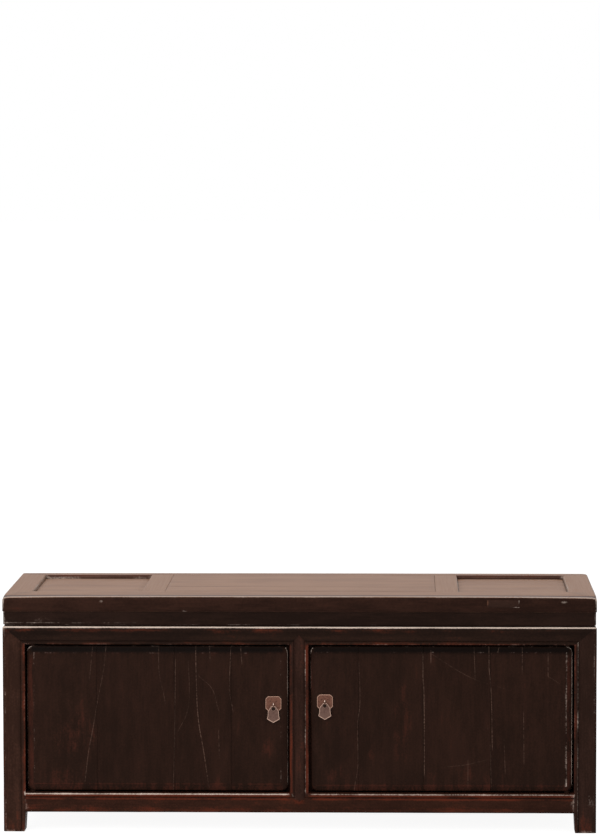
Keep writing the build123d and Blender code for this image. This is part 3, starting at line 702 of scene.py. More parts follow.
@dataclass(frozen=True)
class DarkLacquer(Lacquer):
    """Old dark lacquer, clouded along the grain and worn to red-brown and pale wood.

    Attributes:
        redness: How much of the surface shows the rubbed colour, 0 for what is painted only.
        scratches: Cracks and scratches.
        patches: Rubbed places.
        nicks: Knocked places.
        scratched: The colour of a scratch.
    """

    redness: float = 0.0
    scratches: tuple[Scratch, ...] = ()
    patches: tuple[Patch, ...] = ()
    nicks: tuple[Patch, ...] = ()
    scratched: Colour = srgb(132, 104, 90)

    def scratch_mask(self, recipe: Recipe) -> Socket:
        """How pale the scratches make each point.

        Args:
            recipe: The material being written.

        Returns:
            A number from 0 to 1.
        """
        margin, heights = 40.0, (60.0, 400.0)
        parts = recipe.node("SeparateXYZ", recipe.node("TexCoord").outputs["Object"]).outputs
        places = [point[0] for scratch in self.scratches for point in scratch.points]
        spans = ((min(places) - margin, max(places) + margin), heights)
        x, z = (recipe.remap(parts[i], a * MM, b * MM, soft=False) for i, (a, b) in zip((0, 2), spans))
        total: object = 0.0
        for scratch in self.scratches:
            run, side = (x, z) if scratch.across else (z, x)
            (run0, run1), (side0, side1) = spans if scratch.across else spans[::-1]
            pairs = scratch.points if scratch.across else [(b, a) for a, b in scratch.points]
            path = sorted(((a - run0) / (run1 - run0), (b - side0) / (side1 - side0)) for a, b in pairs)
            first, last = path[0][0], path[-1][0]
            edge = min(0.03, (last - first) * 0.35)
            ends = [(first - edge, 0.0), (first + edge, 1.0), (last - edge, 1.0), (last + edge, 0.0)]
            gap = recipe.math("ABSOLUTE", recipe.math("SUBTRACT", side, self.curve(recipe, run, path)))
            half = scratch.width / 2 / (side1 - side0)
            line = recipe.remap(gap, half * 0.3, half * 1.4, (scratch.strength, 0.0))
            total = recipe.larger(total, recipe.times(line, self.curve(recipe, run, ends)))
        return total

    @staticmethod
    def curve(recipe: Recipe, value: object, points: Sequence[Flat]) -> Socket:
        """A Float Curve through some points."""
        made = recipe.node("FloatCurve", 1.0, value)
        line = made.mapping.curves[0]
        while len(line.points) < len(points):
            line.points.new(0.5, 0.5)
        for handle, (at, level) in zip(line.points, sorted(points)):
            handle.location = (clamp(at), level)
            handle.handle_type = "AUTO_CLAMPED"
        made.mapping.update()
        return made.outputs[0]

    @staticmethod
    def spots(recipe: Recipe, patches: Iterable[Patch]) -> object:
        """How strong some soft places are at each point."""
        point = recipe.node("TexCoord").outputs["Object"]
        total: object = 0.0
        for patch in patches:
            scale = (1 / (patch.half_width * MM), 0.0, 1 / (patch.half_height * MM))
            shift = (-patch.x / patch.half_width, 0.0, -patch.z / patch.half_height)
            moved = recipe.node("VectorMath", point, scale, shift, operation="MULTIPLY_ADD").outputs[0]
            length = recipe.node("VectorMath", moved, operation="LENGTH").outputs["Value"]
            total = recipe.larger(total, recipe.remap(length, 1.0, 0.2, (0.0, patch.strength)))
        return total

    def material(self) -> Material:
        """Writes the material."""
        recipe = Recipe(bpy.data.materials.new(self.name))
        fine, cloud, broad, speck = self.figures(recipe)
        tone = recipe.total((fine, 0.18), (cloud, 0.26), (broad, 0.3), (speck, 0.26))
        colour = recipe.blend(recipe.remap(tone, 0.4, 0.6), self.ground, self.streak)

        rubbed = recipe.attribute("rubbed")
        if self.patches:
            rubbed = recipe.larger(rubbed, self.spots(recipe, self.patches))
        shares = ((rubbed, 1.0), (cloud, 1.2), (fine, 0.4), (speck, 0.5), (broad, 0.6))
        red = recipe.total(*shares, start=self.redness - 1.35)
        colour = recipe.blend(recipe.remap(red, 0.3, 0.9, (0.0, 0.9)), colour, self.rubbed)
        # Darkened by the dirt and the painted shade that the piece carries.
        colour = recipe.blend(recipe.attribute("dirt"), colour, self.dirt)

        if self.scratches:
            broken = recipe.remap(recipe.total((speck, 0.6), (cloud, 0.4)), 0.4, 0.62, (0.05, 0.7))
            colour = recipe.blend(recipe.times(self.scratch_mask(recipe), broken), colour, self.scratched)
        # Pale where the finish is worn through, and where a painted highlight lies along an arris.
        painted = recipe.attribute("bare")
        bare = recipe.remap(recipe.total((painted, 1.0), (speck, 0.7), (cloud, 0.9), start=-0.8), 0.2, 0.95)
        bare = recipe.times(bare, recipe.remap(painted, 0.0, 0.25))
        if self.nicks:
            knocked = recipe.times(self.spots(recipe, self.nicks), recipe.remap(speck, 0.36, 0.56))
            bare = recipe.larger(bare, knocked)
        colour = recipe.blend(bare, colour, self.bare)
        return self.surface(recipe, colour, fine, recipe.total((fine, 0.4), (cloud, 1.0)))


@dataclass(frozen=True)
class FadedLacquer(Lacquer):
    """The lacquer of the top, faded to a matt mid-brown and lightened further as a painted sheen."""

    rubbed: Colour = srgb(62, 34, 24)
    bare: Colour = srgb(144, 127, 116)
    dirt: Colour = srgb(30, 19, 15)
    fine: Figure = Figure(300.0, 7.0)
    cloud: Figure = Figure(26.0, 12.0, 3.0)
    broad: Figure = Figure(26.0, 1.6, 3.0)
    roughness: Flat = (0.46, 0.5)
    relief: float = 0.00006
    specular: float = 0.15

    def material(self) -> Material:
        """Writes the material."""
        recipe = Recipe(bpy.data.materials.new(self.name))
        fine, cloud, broad, speck = self.figures(recipe)
        tone = recipe.total((fine, 0.35), (broad, 0.4), (cloud, 0.25))
        colour = recipe.blend(recipe.remap(tone, 0.4, 0.62), self.ground, self.streak)
        brown = recipe.total((recipe.attribute("rubbed"), 1.0), (speck, 0.8), (cloud, 0.8), start=-0.8)
        colour = recipe.blend(recipe.remap(brown, 0.25, 0.9), colour, self.rubbed)
        # Darkened by the dirt and the painted shade that the piece carries.
        colour = recipe.blend(recipe.attribute("dirt"), colour, self.dirt)
        # Pale where the finish is worn through, and where a painted highlight lies along an arris.
        painted = recipe.attribute("bare")
        bare = recipe.remap(recipe.total((painted, 1.0), (speck, 1.1), (cloud, 1.1), start=-1.1), 0.25, 0.95)
        colour = recipe.blend(recipe.times(bare, recipe.remap(painted, 0.0, 0.2)), colour, self.bare)
        return self.surface(recipe, colour, fine, recipe.total((fine, 0.5), (broad, 1.0)))


@dataclass(frozen=True)
class BareWood:
    """Unfinished wood inside and behind, darkened with age."""

    grain: Grain
    name: str
    pale: Colour = srgb(142, 110, 82)
    dark: Colour = srgb(112, 82, 59)
    dirt: Colour = srgb(40, 28, 20)
    fine: Figure = Figure(520.0, 8.0, 5.0)
    broad: Figure = Figure(38.0, 1.8, 3.0)
    rings: float = 9.0
    roughness: float = 0.78
    relief: float = 0.0006
    specular: float = 0.25

    def material(self) -> Material:
        """Writes the material."""
        recipe = Recipe(bpy.data.materials.new(self.name))
        point = recipe.place()
        fine, broad = (recipe.streaks(point, self.grain, figure) for figure in (self.fine, self.broad))
        rings = recipe.math("PINGPONG", recipe.times(broad, self.rings), 1.0)
        tone = recipe.math("ADD", recipe.times(fine, 0.6), recipe.times(rings, 0.35))
        colour = recipe.blend(recipe.remap(tone, 0.25, 0.75), self.dark, self.pale)
        colour = recipe.blend(recipe.times(recipe.attribute("dirt"), 0.8), colour, self.dirt)
        normal = recipe.bump(fine, self.relief, 0.6)
        gloss = self.specular
        return recipe.shade(colour, Roughness=self.roughness, Normal=normal, Specular_IOR_Level=gloss)


@dataclass(frozen=True)
class OldBrass:
    """Brass with a brown patina, rubbed lighter on its raised edges."""

    name: str = "old_brass"
    patina: Colour = srgb(101, 66, 52)
    spots: Colour = srgb(82, 51, 40)
    rubbed: Colour = srgb(158, 124, 107)
    dirt: Colour = srgb(26, 15, 11)
    clouds: float = 240.0
    specks: float = 1400.0
    metallic: float = 0.75
    roughness: Flat = (0.6, 0.45)
    relief: float = 0.0003

    def material(self) -> Material:
        """Writes the material."""
        recipe = Recipe(bpy.data.materials.new(self.name))
        point = recipe.place()
        cloud, speck = recipe.specks(point, self.clouds, 4.0), recipe.specks(point, self.specks)
        colour = recipe.blend(recipe.remap(cloud, 0.42, 0.68), self.patina, self.spots)
        bare = recipe.total((recipe.attribute("bare"), 1.0), (speck, 0.8), start=-0.4)
        worn = recipe.remap(bare, 0.2, 0.95)
        colour = recipe.blend(worn, colour, self.rubbed)
        # Darkened by the dirt and the painted shade that the piece carries.
        colour = recipe.blend(recipe.attribute("dirt"), colour, self.dirt)
        matt = recipe.remap(worn, 0.0, 1.0, self.roughness)
        normal = recipe.bump(cloud, self.relief)
        return recipe.shade(colour, Metallic=self.metallic, Roughness=matt, Normal=normal)


# Sub-assemblies


@dataclass(frozen=True)
class Levels:
    """The planes and heights that the members share, and the bead along their edges."""

    left: float = -600.0
    right: float = 600.0
    front: float = -207.25
    back: float = 212.75
    post: float = 45.0
    rail: float = 38.0
    foot: float = 40.0
    sill: float = 80.0
    head: float = 382.5
    carcass_top: float = 419.0
    top_under: float = 449.0
    height: float = 480.0
    half_stile: float = 19.0
    bead: float = 8.5
    bead_round: float = 2.5
    groove: Groove = Groove()

    @property
    def inner_left(self) -> float:
        """The inner face of the left posts."""
        return self.left + self.post

    @property
    def inner_right(self) -> float:
        """The inner face of the right posts."""
        return self.right - self.post

    @property
    def inner_front(self) -> float:
        """The inner face of the front posts."""
        return self.front + self.post

    @property
    def inner_back(self) -> float:
        """The inner face of the back posts."""
        return self.back - self.post

    @property
    def top_rail(self) -> float:
        """The height of a top rail."""
        return self.carcass_top - self.head

    @property
    def top_groove(self) -> float:
        """The height of the bead groove of a top rail."""
        return self.head + self.bead * self.top_rail / self.post


@dataclass(kw_only=True)
class Assembly:
    """What every sub-assembly has.

    Attributes:
        finishes: The materials by their names.
        at: The planes and heights.
    """

    finishes: dict[str, Material] = field(default_factory=dict)
    at: Levels = Levels()

    def bare(self, piece: Workpiece, node: str, key: str, body: str = "cabinet") -> None:
        """Finishes a piece that is bare wood."""
        piece.finish(node, body, "bare_wood", self.finishes[key])


@dataclass
class Carcass(Assembly):
    """The posts, rails and stiles, the side and back panels and the floor."""

    post_round: float = 5.0
    top_round: float = 4.5
    foot_round: float = 1.5
    foot_taper: float = 2.2
    lip: float = 8.0
    lip_face: float = -180.75
    bearer: float = 30.0
    step: float = 12.0
    back_step: float = 30.0
    wear_margin: float = 20.0
    tone_step: float = 0.37

    def blank(self) -> Workpiece:
        """The outside of the whole carcass, from which the outer members are sawn."""
        at = self.at
        body = Workpiece((at.left, at.front, 0.0), (at.right, at.back, at.carcass_top))
        body.ease(body.edges_along(2), self.post_round, 3)
        return body.ease(body.edges_at(z=at.carcass_top), self.top_round, 4)

    def mitre_front(self, piece: Workpiece, keep_below: bool) -> Workpiece:
        """Saws the mitre between the left front post and the front top rail."""
        at, sign = self.at, 1.0 if keep_below else -1.0
        normal = (sign * at.top_rail, 0.0, sign * at.post)
        return piece.saw((at.inner_left, at.front, at.head), normal)

    def mitre_side(self, piece: Workpiece, keep_below: bool, at_back: bool = False) -> Workpiece:
        """Saws the mitre between a left post and the side top rail."""
        at, sign = self.at, 1.0 if keep_below else -1.0
        y, turn = (at.inner_back, -1.0) if at_back else (at.inner_front, 1.0)
        return piece.saw((at.left, y, at.head), (0.0, sign * turn * at.top_rail, sign * at.post))

    def arrises(self) -> list[Arris]:
        """The worn edges of the front, the sides and the feet, with painted highlights and darkened lines."""
        at = self.at
        front, top, head, sill, half = at.front, at.carcass_top, at.head, at.sill, at.half_stile
        width, ridge, flank, point = (at.left, at.right), half - 6.4, half - 3.4, sill - half
        outer_lip = at.inner_right + at.bead - at.groove.width / 2
        worn = [
            # The pale line along the carcass's top arris is partly wear and partly painted highlight.
            across(width, front + 1.3, top - 1.3, bare=1.3, reach=2.6),
            across(width, front, top - 8.0, rub=0.38, rub_reach=5.5, fade=0.5),
            # The upper band of the head rail and the bead grooves are painted darker.
            across(width, front, top - 15.0, dirt=0.4, dirt_reach=8.0, fade=0.3),
            across(width, at.back, top, bare=0.7, reach=4.6, rub=0.5),
            across((at.inner_left, at.inner_right), front, at.top_groove, dirt=0.7),
            upright(ridge, front, (376.0, 90.0), bare=0.32, reach=1.4),
            upright(ridge, front, (330.0, 290.0), bare=0.5, reach=1.6, fade=0.3),
            upright(ridge, front, (215.0, 185.0), bare=0.45, reach=1.6),
            upright(ridge, front, (90.0, sill), bare=0.6, reach=2.0),
            upright(5.7 - half, front, (sill, 75.0), bare=0.5, reach=2.0),
            upright(0.0, front, (point + 6.0, point + 2.0), rub=0.5, rub_reach=7.0),
            upright(-half, front, (170.0, 120.0), rub=0.6, rub_reach=6.5),
            upright(flank, front, (head, sill), rub=0.5, rub_reach=3.6),
            upright(-flank, front, (330.0, sill), rub=0.4, rub_reach=4.0),
            upright(outer_lip, front, (at.top_groove, 0.0), bare=0.42, reach=1.5),
            Arris((588.0, front, 79.0), (589.5, front, 60.0), bare=0.4, reach=5.0),
        ]
        for hand in Hand:
            worn += self.front_arrises(hand) + self.side_arrises(hand)
        return worn

    def front_arrises(self, hand: Hand) -> list[Arris]:
        """The worn edges, painted highlights and darkened lines of one half of the front."""
        at, sign, hung = self.at, hand.value, hand is Hand.RIGHT
        front, top, head, sill = at.front, at.carcass_top, at.head, at.sill
        half, bead = at.half_stile, at.bead
        x, opening = sign * at.right, sign * at.inner_right
        span, low, high = (opening, sign * (half + 1.5)), sill - half, head + half
        joint = {"dirt": 0.2, "dirt_reach": 1.2}
        return [
            across(span, front, head, bare=0.2, rub=0.3, rub_reach=6.0),
            # The pale line along the sill's top arris is partly wear and partly painted highlight; the sill's
            # groove and lower edge are painted darker.
            across(span, front + 0.2, sill - 2.5, bare=0.62 if hung else 0.88, reach=2.1),
            across(span, front, sill - 5.8, rub=0.6 if hung else 0.8, rub_reach=4.0),
            across(span, front, sill - bead, dirt=0.8),
            across(span, front, sill - 12.5, rub=0.5, rub_reach=3.0),
            across(span, front, at.foot + 5.0, rub=0.2, rub_reach=8.0),
            across(span, front, at.foot, dirt=0.4, dirt_reach=3.0),
            # The pale line down the outer corner is partly wear and partly painted highlight.
            upright(x - sign * self.post_round, front, (top, 0.0), bare=0.3, reach=2.4, fade=0.3),
            upright(x, front, (top, top - 14.0), bare=0.9, reach=4.6, fade=0.6),
            upright(x, front, (top, 0.0), rub=0.2, rub_reach=8.0),
            upright(opening, front, (head, sill), bare=0.2, rub=0.5, rub_reach=7.0),
            upright(opening, front, (sill - 3.0, sill - 16.0), bare=0.4 if hung else 0.25, reach=1.6),
            upright(opening, front, (sill, 0.0), bare=0.25, reach=2.4, rub=0.2),
            upright(opening + sign * bead, front, (at.top_groove, 0.0), dirt=0.7),
            upright(sign * half, front, (sill, head), bare=0.25, rub=0.35, rub_reach=6.5),
            upright(sign * (half - bead), front, (low + bead, high - bead), dirt=0.7),
            Arris((opening, front, head), (x, front, top), bare=0.12, reach=0.9, fade=0.3, **joint),
            Arris((sign * half, front, sill), (0.0, front, low), bare=0.15, reach=0.8, **joint),
            Arris((sign * half, front, head), (0.0, front, high), **joint),
        ]

    def side_arrises(self, hand: Hand) -> list[Arris]:
        """The worn edges of a side and of its two feet."""
        at, sign = self.at, hand.value
        front, back, top, head, sill = at.front, at.back, at.carcass_top, at.head, at.sill
        x, opening, span = sign * at.right, sign * at.inner_right, (at.inner_front, at.inner_back)
        scuffed = {"bare": 0.3, "reach": 7.0, "rub": 0.16, "rub_reach": 36.0}
        worn = [
            upright(x, back, (top, 0.0), bare=0.5, reach=4.0, rub=0.4, fade=0.4),
            inward(x, (front, back), top, bare=0.9, reach=4.6, rub=0.5),
            inward(x, span, sill, bare=0.8, reach=2.4, rub=0.7),
            inward(x, span, head, bare=0.3, rub=0.6),
            inward(x, span, at.foot, bare=0.2, rub=0.6),
            inward(x, span, sill - at.bead, dirt=0.85),
            inward(x, span, at.top_groove, dirt=0.8),
            across((x, opening), front, 0.0, **scuffed),
            across((x, opening), back, 0.0, **scuffed),
        ]
        for inner, outer, turn in ((at.inner_front, front, 1.0), (at.inner_back, back, -1.0)):
            worn += [
                inward(x, (inner, outer), 0.0, **scuffed),
                upright(x, inner, (head, sill), bare=0.4, reach=2.2, rub=0.5),
                upright(x, inner - turn * at.bead, (at.top_groove, 0.0), dirt=0.75),
                Arris((x, inner, head), (x, outer, top), bare=0.3, reach=0.9, dirt=0.6),
            ]
        return worn

    def wear(self, piece: Workpiece, tone: float) -> Workpiece:
        """Paints and unevens one member, with the wear, painted light and painted shade that lie near it."""
        spans = []
        for axis in range(3):
            places = [vert.co[axis] for vert in piece.bm.verts]
            spans.append((min(places) - self.wear_margin, max(places) + self.wear_margin))

        def close(arris: Arris) -> bool:
            ends = zip(arris.start, arris.end, spans)
            return all(min(a, b) <= high and max(a, b) >= low for a, b, (low, high) in ends)

        return piece.paint(list(filter(close, self.arrises())), tone).hand_work()

    def front_post(self) -> Workpiece:
        """The left front post, mitred to the front and the side top rail."""
        at = self.at
        inner_x, inner_y = at.inner_left, at.inner_front
        post = self.blank().saw((inner_x, 0, 0), (1, 0, 0)).saw((0, inner_y, 0), (0, 1, 0))
        post.ease(post.edges_at(x=inner_x, y=at.front) + post.edges_at(x=at.left, y=inner_y), at.bead_round)
        post.ease(post.edges_at(z=0.0), self.foot_round, 2)
        post.score(0, inner_x - at.bead, 1, at.front, at.groove)
        post.score(1, inner_y - at.bead, 0, at.left, at.groove)
        self.mitre_front(post, keep_below=True)
        self.mitre_side(post, keep_below=True)
        return self.taper_foot(self.slice_post(post, at.front, inner_y), inner_y)

    def back_post(self) -> Workpiece:
        """The left back post, mitred to the side top rail."""
        at = self.at
        inner_x, inner_y = at.inner_left, at.inner_back
        post = self.blank().saw((inner_x, 0, 0), (1, 0, 0)).saw((0, inner_y, 0), (0, -1, 0))
        post.ease(post.edges_at(x=at.left, y=inner_y), at.bead_round)
        post.ease(post.edges_at(x=inner_x, y=at.back), 1.0, 2)
        post.ease(post.edges_at(z=0.0), self.foot_round, 2)
        post.score(1, inner_y + at.bead, 0, at.left, at.groove)
        self.mitre_side(post, keep_below=True, at_back=True)
        return self.taper_foot(self.slice_post(post, inner_y, at.back), inner_y)

    def slice_post(self, post: Workpiece, y0: float, y1: float) -> Workpiece:
        """Scribes a post so that its wear can be drawn."""
        at = self.at
        post.rule(0, [at.left + 8.0, at.left + 14.0, at.inner_left - 15.0, at.inner_left - 4.5])
        post.rule(1, [y0 + 9.0, y0 + 22.0, y1 - 9.0])
        return post.rule(2, [3.0, 8.0, 15.0, at.foot, 64.0, 77.0]).slices(2, self.step)

    def taper_foot(self, post: Workpiece, inner_y: float) -> Workpiece:
        """Planes the inner faces of a foot towards the floor."""
        at = self.at
        outer_y = at.front if inner_y < 0 else at.back
        toward = 1.0 if outer_y > inner_y else -1.0
        middle_x, middle_y = (at.left + at.inner_left) / 2, (inner_y + outer_y) / 2

        def shift(co: Vector) -> Vector:
            if co.z >= at.foot:
                return Vector()
            planed = self.foot_taper * (1.0 - co.z / at.foot)
            near_x = max(0.0, (co.x - middle_x) / (at.inner_left - middle_x))
            near_y = max(0.0, (co.y - middle_y) / (inner_y - middle_y))
            return Vector((-planed * near_x, toward * planed * near_y, 0.0))

        return post.move(shift)

    def front_top_rail(self) -> Workpiece:
        """The head of both doors, with its notch for the stile's point."""
        at = self.at
        rail = self.blank().saw((0, 0, at.head), (0, 0, -1)).saw((0, at.front + at.rail, 0), (0, 1, 0))
        rail.ease(rail.edges_at(y=at.front, z=at.head), at.bead_round)
        rail.score(2, at.top_groove, 1, at.front, at.groove)
        self.mitre_front(rail, keep_below=False)
        rail.saw((at.left, at.front, 0), (-1, 1, 0))
        rail.saw((0, 0, at.head + at.half_stile), (1, 0, -1))
        rail.rule(2, [at.head + s for s in (4.0, 13.0)] + [at.carcass_top - s for s in (15.0, 11.0, 7.0)])
        return rail.rule(1, [at.front + 8.0]).slices(0, self.step).doubled()

    def front_bottom_rail(self) -> Workpiece:
        """The sill of both doors, between the posts, made from a half that goes past the middle."""
        at, past_middle = self.at, 30.0
        rail = Workpiece((at.inner_left, at.front, at.foot), (past_middle, at.front + at.rail, at.sill))
        rail.ease(rail.edges_at(y=at.front, z=at.sill) + rail.edges_at(y=at.front, z=at.foot), at.bead_round)
        rail.score(2, at.sill - at.bead, 1, at.front, at.groove)
        rail.saw((0, 0, at.sill - at.half_stile), (1, 0, 1))
        rail.rule(2, [at.sill - s for s in (4.2, 6.0, 11.0, 12.5, 16.0)])
        rail.rule(2, [at.foot + s for s in (12.0, 7.0, 4.0)])
        return rail.rule(1, [at.front + 8.0]).slices(0, self.step).doubled()

    def front_stile(self) -> Workpiece:
        """The upright between the doors, with pointed shoulders and the lip that stops the doors."""
        at, face = self.at, self.lip_face
        half, low, high = at.half_stile, at.sill - at.half_stile, at.head + at.half_stile
        bar = Workpiece((-half, at.front, low - 5.0), (half, face + 4.0, high + 5.0))
        bar.ease(bar.edges_at(x=-half, y=at.front) + bar.edges_at(x=half, y=at.front), at.bead_round)
        for x in (at.bead - half, half - at.bead):
            bar.score(0, x, 1, at.front, at.groove)
        for sign in (-1.0, 1.0):
            bar.saw((0, 0, low), (-sign, 0, -1)).saw((0, 0, high), (-sign, 0, 1))
        bar.rule(0, [-14.5, -6.0, 6.0, 12.6, 14.5]).slices(2, 8.0)
        lip = Workpiece((-half - self.lip, face, at.sill), (half + self.lip, at.front + at.rail, at.head))
        return bar.join(lip.ease(lip.edges_at(y=face), 0.8, 2).slices(2, 40.0))

    def side_top_rail(self) -> Workpiece:
        """The left side's top rail."""
        at = self.at
        rail = self.blank().saw((0, 0, at.head), (0, 0, -1)).saw((at.left + at.rail, 0, 0), (1, 0, 0))
        rail.ease(rail.edges_at(x=at.left, z=at.head), at.bead_round)
        rail.score(2, at.top_groove, 0, at.left, at.groove)
        self.mitre_side(rail, keep_below=False)
        self.mitre_side(rail, keep_below=False, at_back=True)
        rail.saw((at.left, at.front, 0), (1, -1, 0))
        rail.rule(2, [at.head + 4.0, at.head + 13.0, at.carcass_top - 8.0])
        return rail.rule(0, [at.left + 8.0]).slices(1, self.step)

    def side_bottom_rail(self) -> Workpiece:
        """The left side's bottom rail."""
        at = self.at
        rail = Workpiece((at.left, at.inner_front, at.foot), (at.left + at.rail, at.inner_back, at.sill))
        rail.ease(rail.edges_at(x=at.left, z=at.sill) + rail.edges_at(x=at.left, z=at.foot), at.bead_round)
        rail.score(2, at.sill - at.bead, 0, at.left, at.groove)
        rail.rule(2, [at.sill - 4.2, at.sill - 14.0, at.foot + 12.0])
        return rail.rule(0, [at.left + 8.0]).slices(1, self.step)

    def side_panel(self) -> Workpiece:
        """The left side panel."""
        return Workpiece(*corners("side_panel_left")).slices(1, 24.0).slices(2, 40.0)

    def back_rail(self, z0: float, z1: float) -> Workpiece:
        """A back rail between the posts."""
        at = self.at
        rail = self.blank() if z1 == at.carcass_top else Workpiece((-700, -300, z0), (700, at.back, z1))
        rail.saw((at.inner_left, 0, 0), (-1, 0, 0)).saw((at.inner_right, 0, 0), (1, 0, 0))
        rail.saw((0, at.back - at.rail, 0), (0, -1, 0)).saw((0, 0, z0), (0, 0, -1))
        rail.ease(rail.edges_at(y=at.back, z=z0), at.bead_round)
        if z1 < at.carcass_top:
            rail.ease(rail.edges_at(y=at.back, z=z1), 1.0, 2)
        return rail.rule(2, [z0 + 8.0]).slices(0, self.back_step)

    def back_stile(self) -> Workpiece:
        """The upright between the back panels."""
        at, half = self.at, self.at.half_stile
        stile = Workpiece((-half, at.back - at.rail, at.sill), (half, at.back, at.head))
        outer = stile.edges_at(x=-half, y=at.back) + stile.edges_at(x=half, y=at.back)
        return stile.ease(outer, 1.0, 2).slices(2, self.back_step)

    def bearers(self) -> Workpiece:
        """The three bearers under the floor boards."""
        low, high = corners("floor_bearers")
        half, whole = self.bearer / 2, Workpiece()
        for x in (low.x + half, 0.0, high.x - half):
            bar = Workpiece((x - half, low.y, low.z), (x + half, high.y, high.z - 0.05))
            whole.join(bar.ease(list(bar.bm.edges), 1.2, 2).slices(1, self.back_step))
        return whole

    def members(self) -> Iterator[tuple[str, Workpiece, str, str]]:
        """The worn members, each with its node, its piece, its slot and the name of its finish."""
        at = self.at
        pairs = (
            ("post_front", self.front_post, "post_{}"),
            ("post_back", self.back_post, "dark_z"),
            ("side_top_rail", self.side_top_rail, "dark_y"),
            ("side_bottom_rail", self.side_bottom_rail, "dark_y"),
            ("side_panel", self.side_panel, "dark_y"),
        )
        for name, make, key in pairs:
            for hand in Hand:
                yield f"{name}_{hand.word}", make().for_hand(hand), "dark_lacquer", key.format(hand.word)
        yield "front_top_rail", self.front_top_rail(), "dark_lacquer", "rail_top"
        yield "front_bottom_rail", self.front_bottom_rail(), "dark_lacquer", "rail_bottom"
        yield "front_centre_stile", self.front_stile(), "dark_lacquer", "stile"
        yield "back_top_rail", self.back_rail(at.head, at.carcass_top), "bare_wood", "wood_x"
        yield "back_bottom_rail", self.back_rail(at.foot, at.sill), "bare_wood", "wood_x"

    def build(self) -> None:
        """Makes the carcass's pieces, the plain boards from the extents of their nodes."""
        for number, (node, piece, slot, key) in enumerate(self.members(), start=1):
            self.wear(piece, self.tone_step * number).finish(node, "cabinet", slot, self.finishes[key])
        self.bare(self.back_stile().paint(tone=2.2).hand_work(), "back_centre_stile", "wood_z")
        boards = (
            ("back_panel_left", 1.1),
            ("back_panel_right", 2.3),
            ("floor_board_front", 3.1),
            ("floor_board_middle", 4.7),
            ("floor_board_back", 5.9),
        )
        play = Vector((0.1, 0.1, 0.1))
        for node, tone in boards:
            low, high = corners(node)
            board = Workpiece(low + play, high - play)
            board.ease(list(board.bm.edges), 0.7, 2).slices(0, 40.0)
            self.bare(board.paint(tone=tone).hand_work(0.15), node, "wood_x")
        self.bare(self.bearers().paint(tone=0.4).hand_work(0.2), "floor_bearers", "wood_y")


@dataclass
class Waist(Assembly):
    """Four mitred boards between the carcass and the top, over a shadow groove."""

    setback: float = 1.5
    thickness: float = 20.0
    groove_height: float = 3.0
    groove_depth: float = 4.0

    @property
    def low_z(self) -> float:
        """The lower edge of the boards, over the groove."""
        return self.at.carcass_top + self.groove_height

    def board(self, side: Side) -> Workpiece:
        """One board, with the foot that stands behind the groove."""
        at, z, face, foot = self.at, self.low_z, self.setback, self.setback + self.groove_depth
        far = (at.right - face, at.back - face, at.top_under)
        body = Workpiece((at.left + face, at.front + face, z), far)
        body.ease(body.edges_along(2), 5.0, 3)
        body.ease(body.edges_at(z=z), 1.5, 2)
        strip = Workpiece(
            (at.left + foot, at.front + foot, at.carcass_top - 0.2),
            (at.right - foot, at.back - foot, z + 0.5),
        )
        whole = Workpiece()
        for part in (body, strip):
            self.saw_out(part, side)
            whole.join(part)
        return whole.rule(2, [z + 2.6, z + 4.2, z + 5.8]).slices(0 if side.long else 1, 12.0)

    def saw_out(self, part: Workpiece, side: Side) -> None:
        """Saws one side's share, mitred at both ends, out of the whole ring."""
        at, inner = self.at, self.setback + self.thickness
        if side.long:
            sign, y = (1.0, at.front) if side is Side.FRONT else (-1.0, at.back)
            part.saw((0, y + sign * inner, 0), (0, sign, 0))
            part.saw((at.left, y, 0), (-1, sign, 0)).saw((at.right, y, 0), (1, sign, 0))
        else:
            sign, x = (1.0, at.left) if side is Side.LEFT else (-1.0, at.right)
            part.saw((x + sign * inner, 0, 0), (sign, 0, 0))
            part.saw((x, at.front, 0), (sign, -1, 0)).saw((x, at.back, 0), (sign, 1, 0))

    def build(self) -> None:
        """Makes the four boards."""
        at, z, face = self.at, self.low_z, self.setback
        front, back, left, right = at.front + face, at.back - face, at.left + face, at.right - face
        worn = [
            # The pale lines along the lower arris of the front board are partly wear and partly painted
            # highlight.
            across((left, left + 280.0), front, z + 4.2, bare=0.42, reach=2.0, fade=0.6),
            across((left, right), front, z, bare=0.3, reach=1.9, rub=0.2, rub_reach=4.0, fade=0.5),
            # Painted shade in the groove under the boards.
            across((left, right), front, z - 2.0, dirt=0.9, dirt_reach=2.5),
            across((left, right), back, z, bare=0.4, reach=1.9),
        ]
        for x in (left, right):
            worn.append(inward(x, (front, back), z, bare=0.5, reach=1.9))
            worn.append(upright(x, front, (z, at.top_under), bare=0.55, reach=4.0))
        for index, side in enumerate(Side):
            lacquer = self.finishes["waist_x" if side.long else "waist_y"]
            board = self.board(side).paint(worn, 0.83 * index).hand_work(0.15)
            board.finish(f"waist_{side.value}", "cabinet", "dark_lacquer", lacquer)


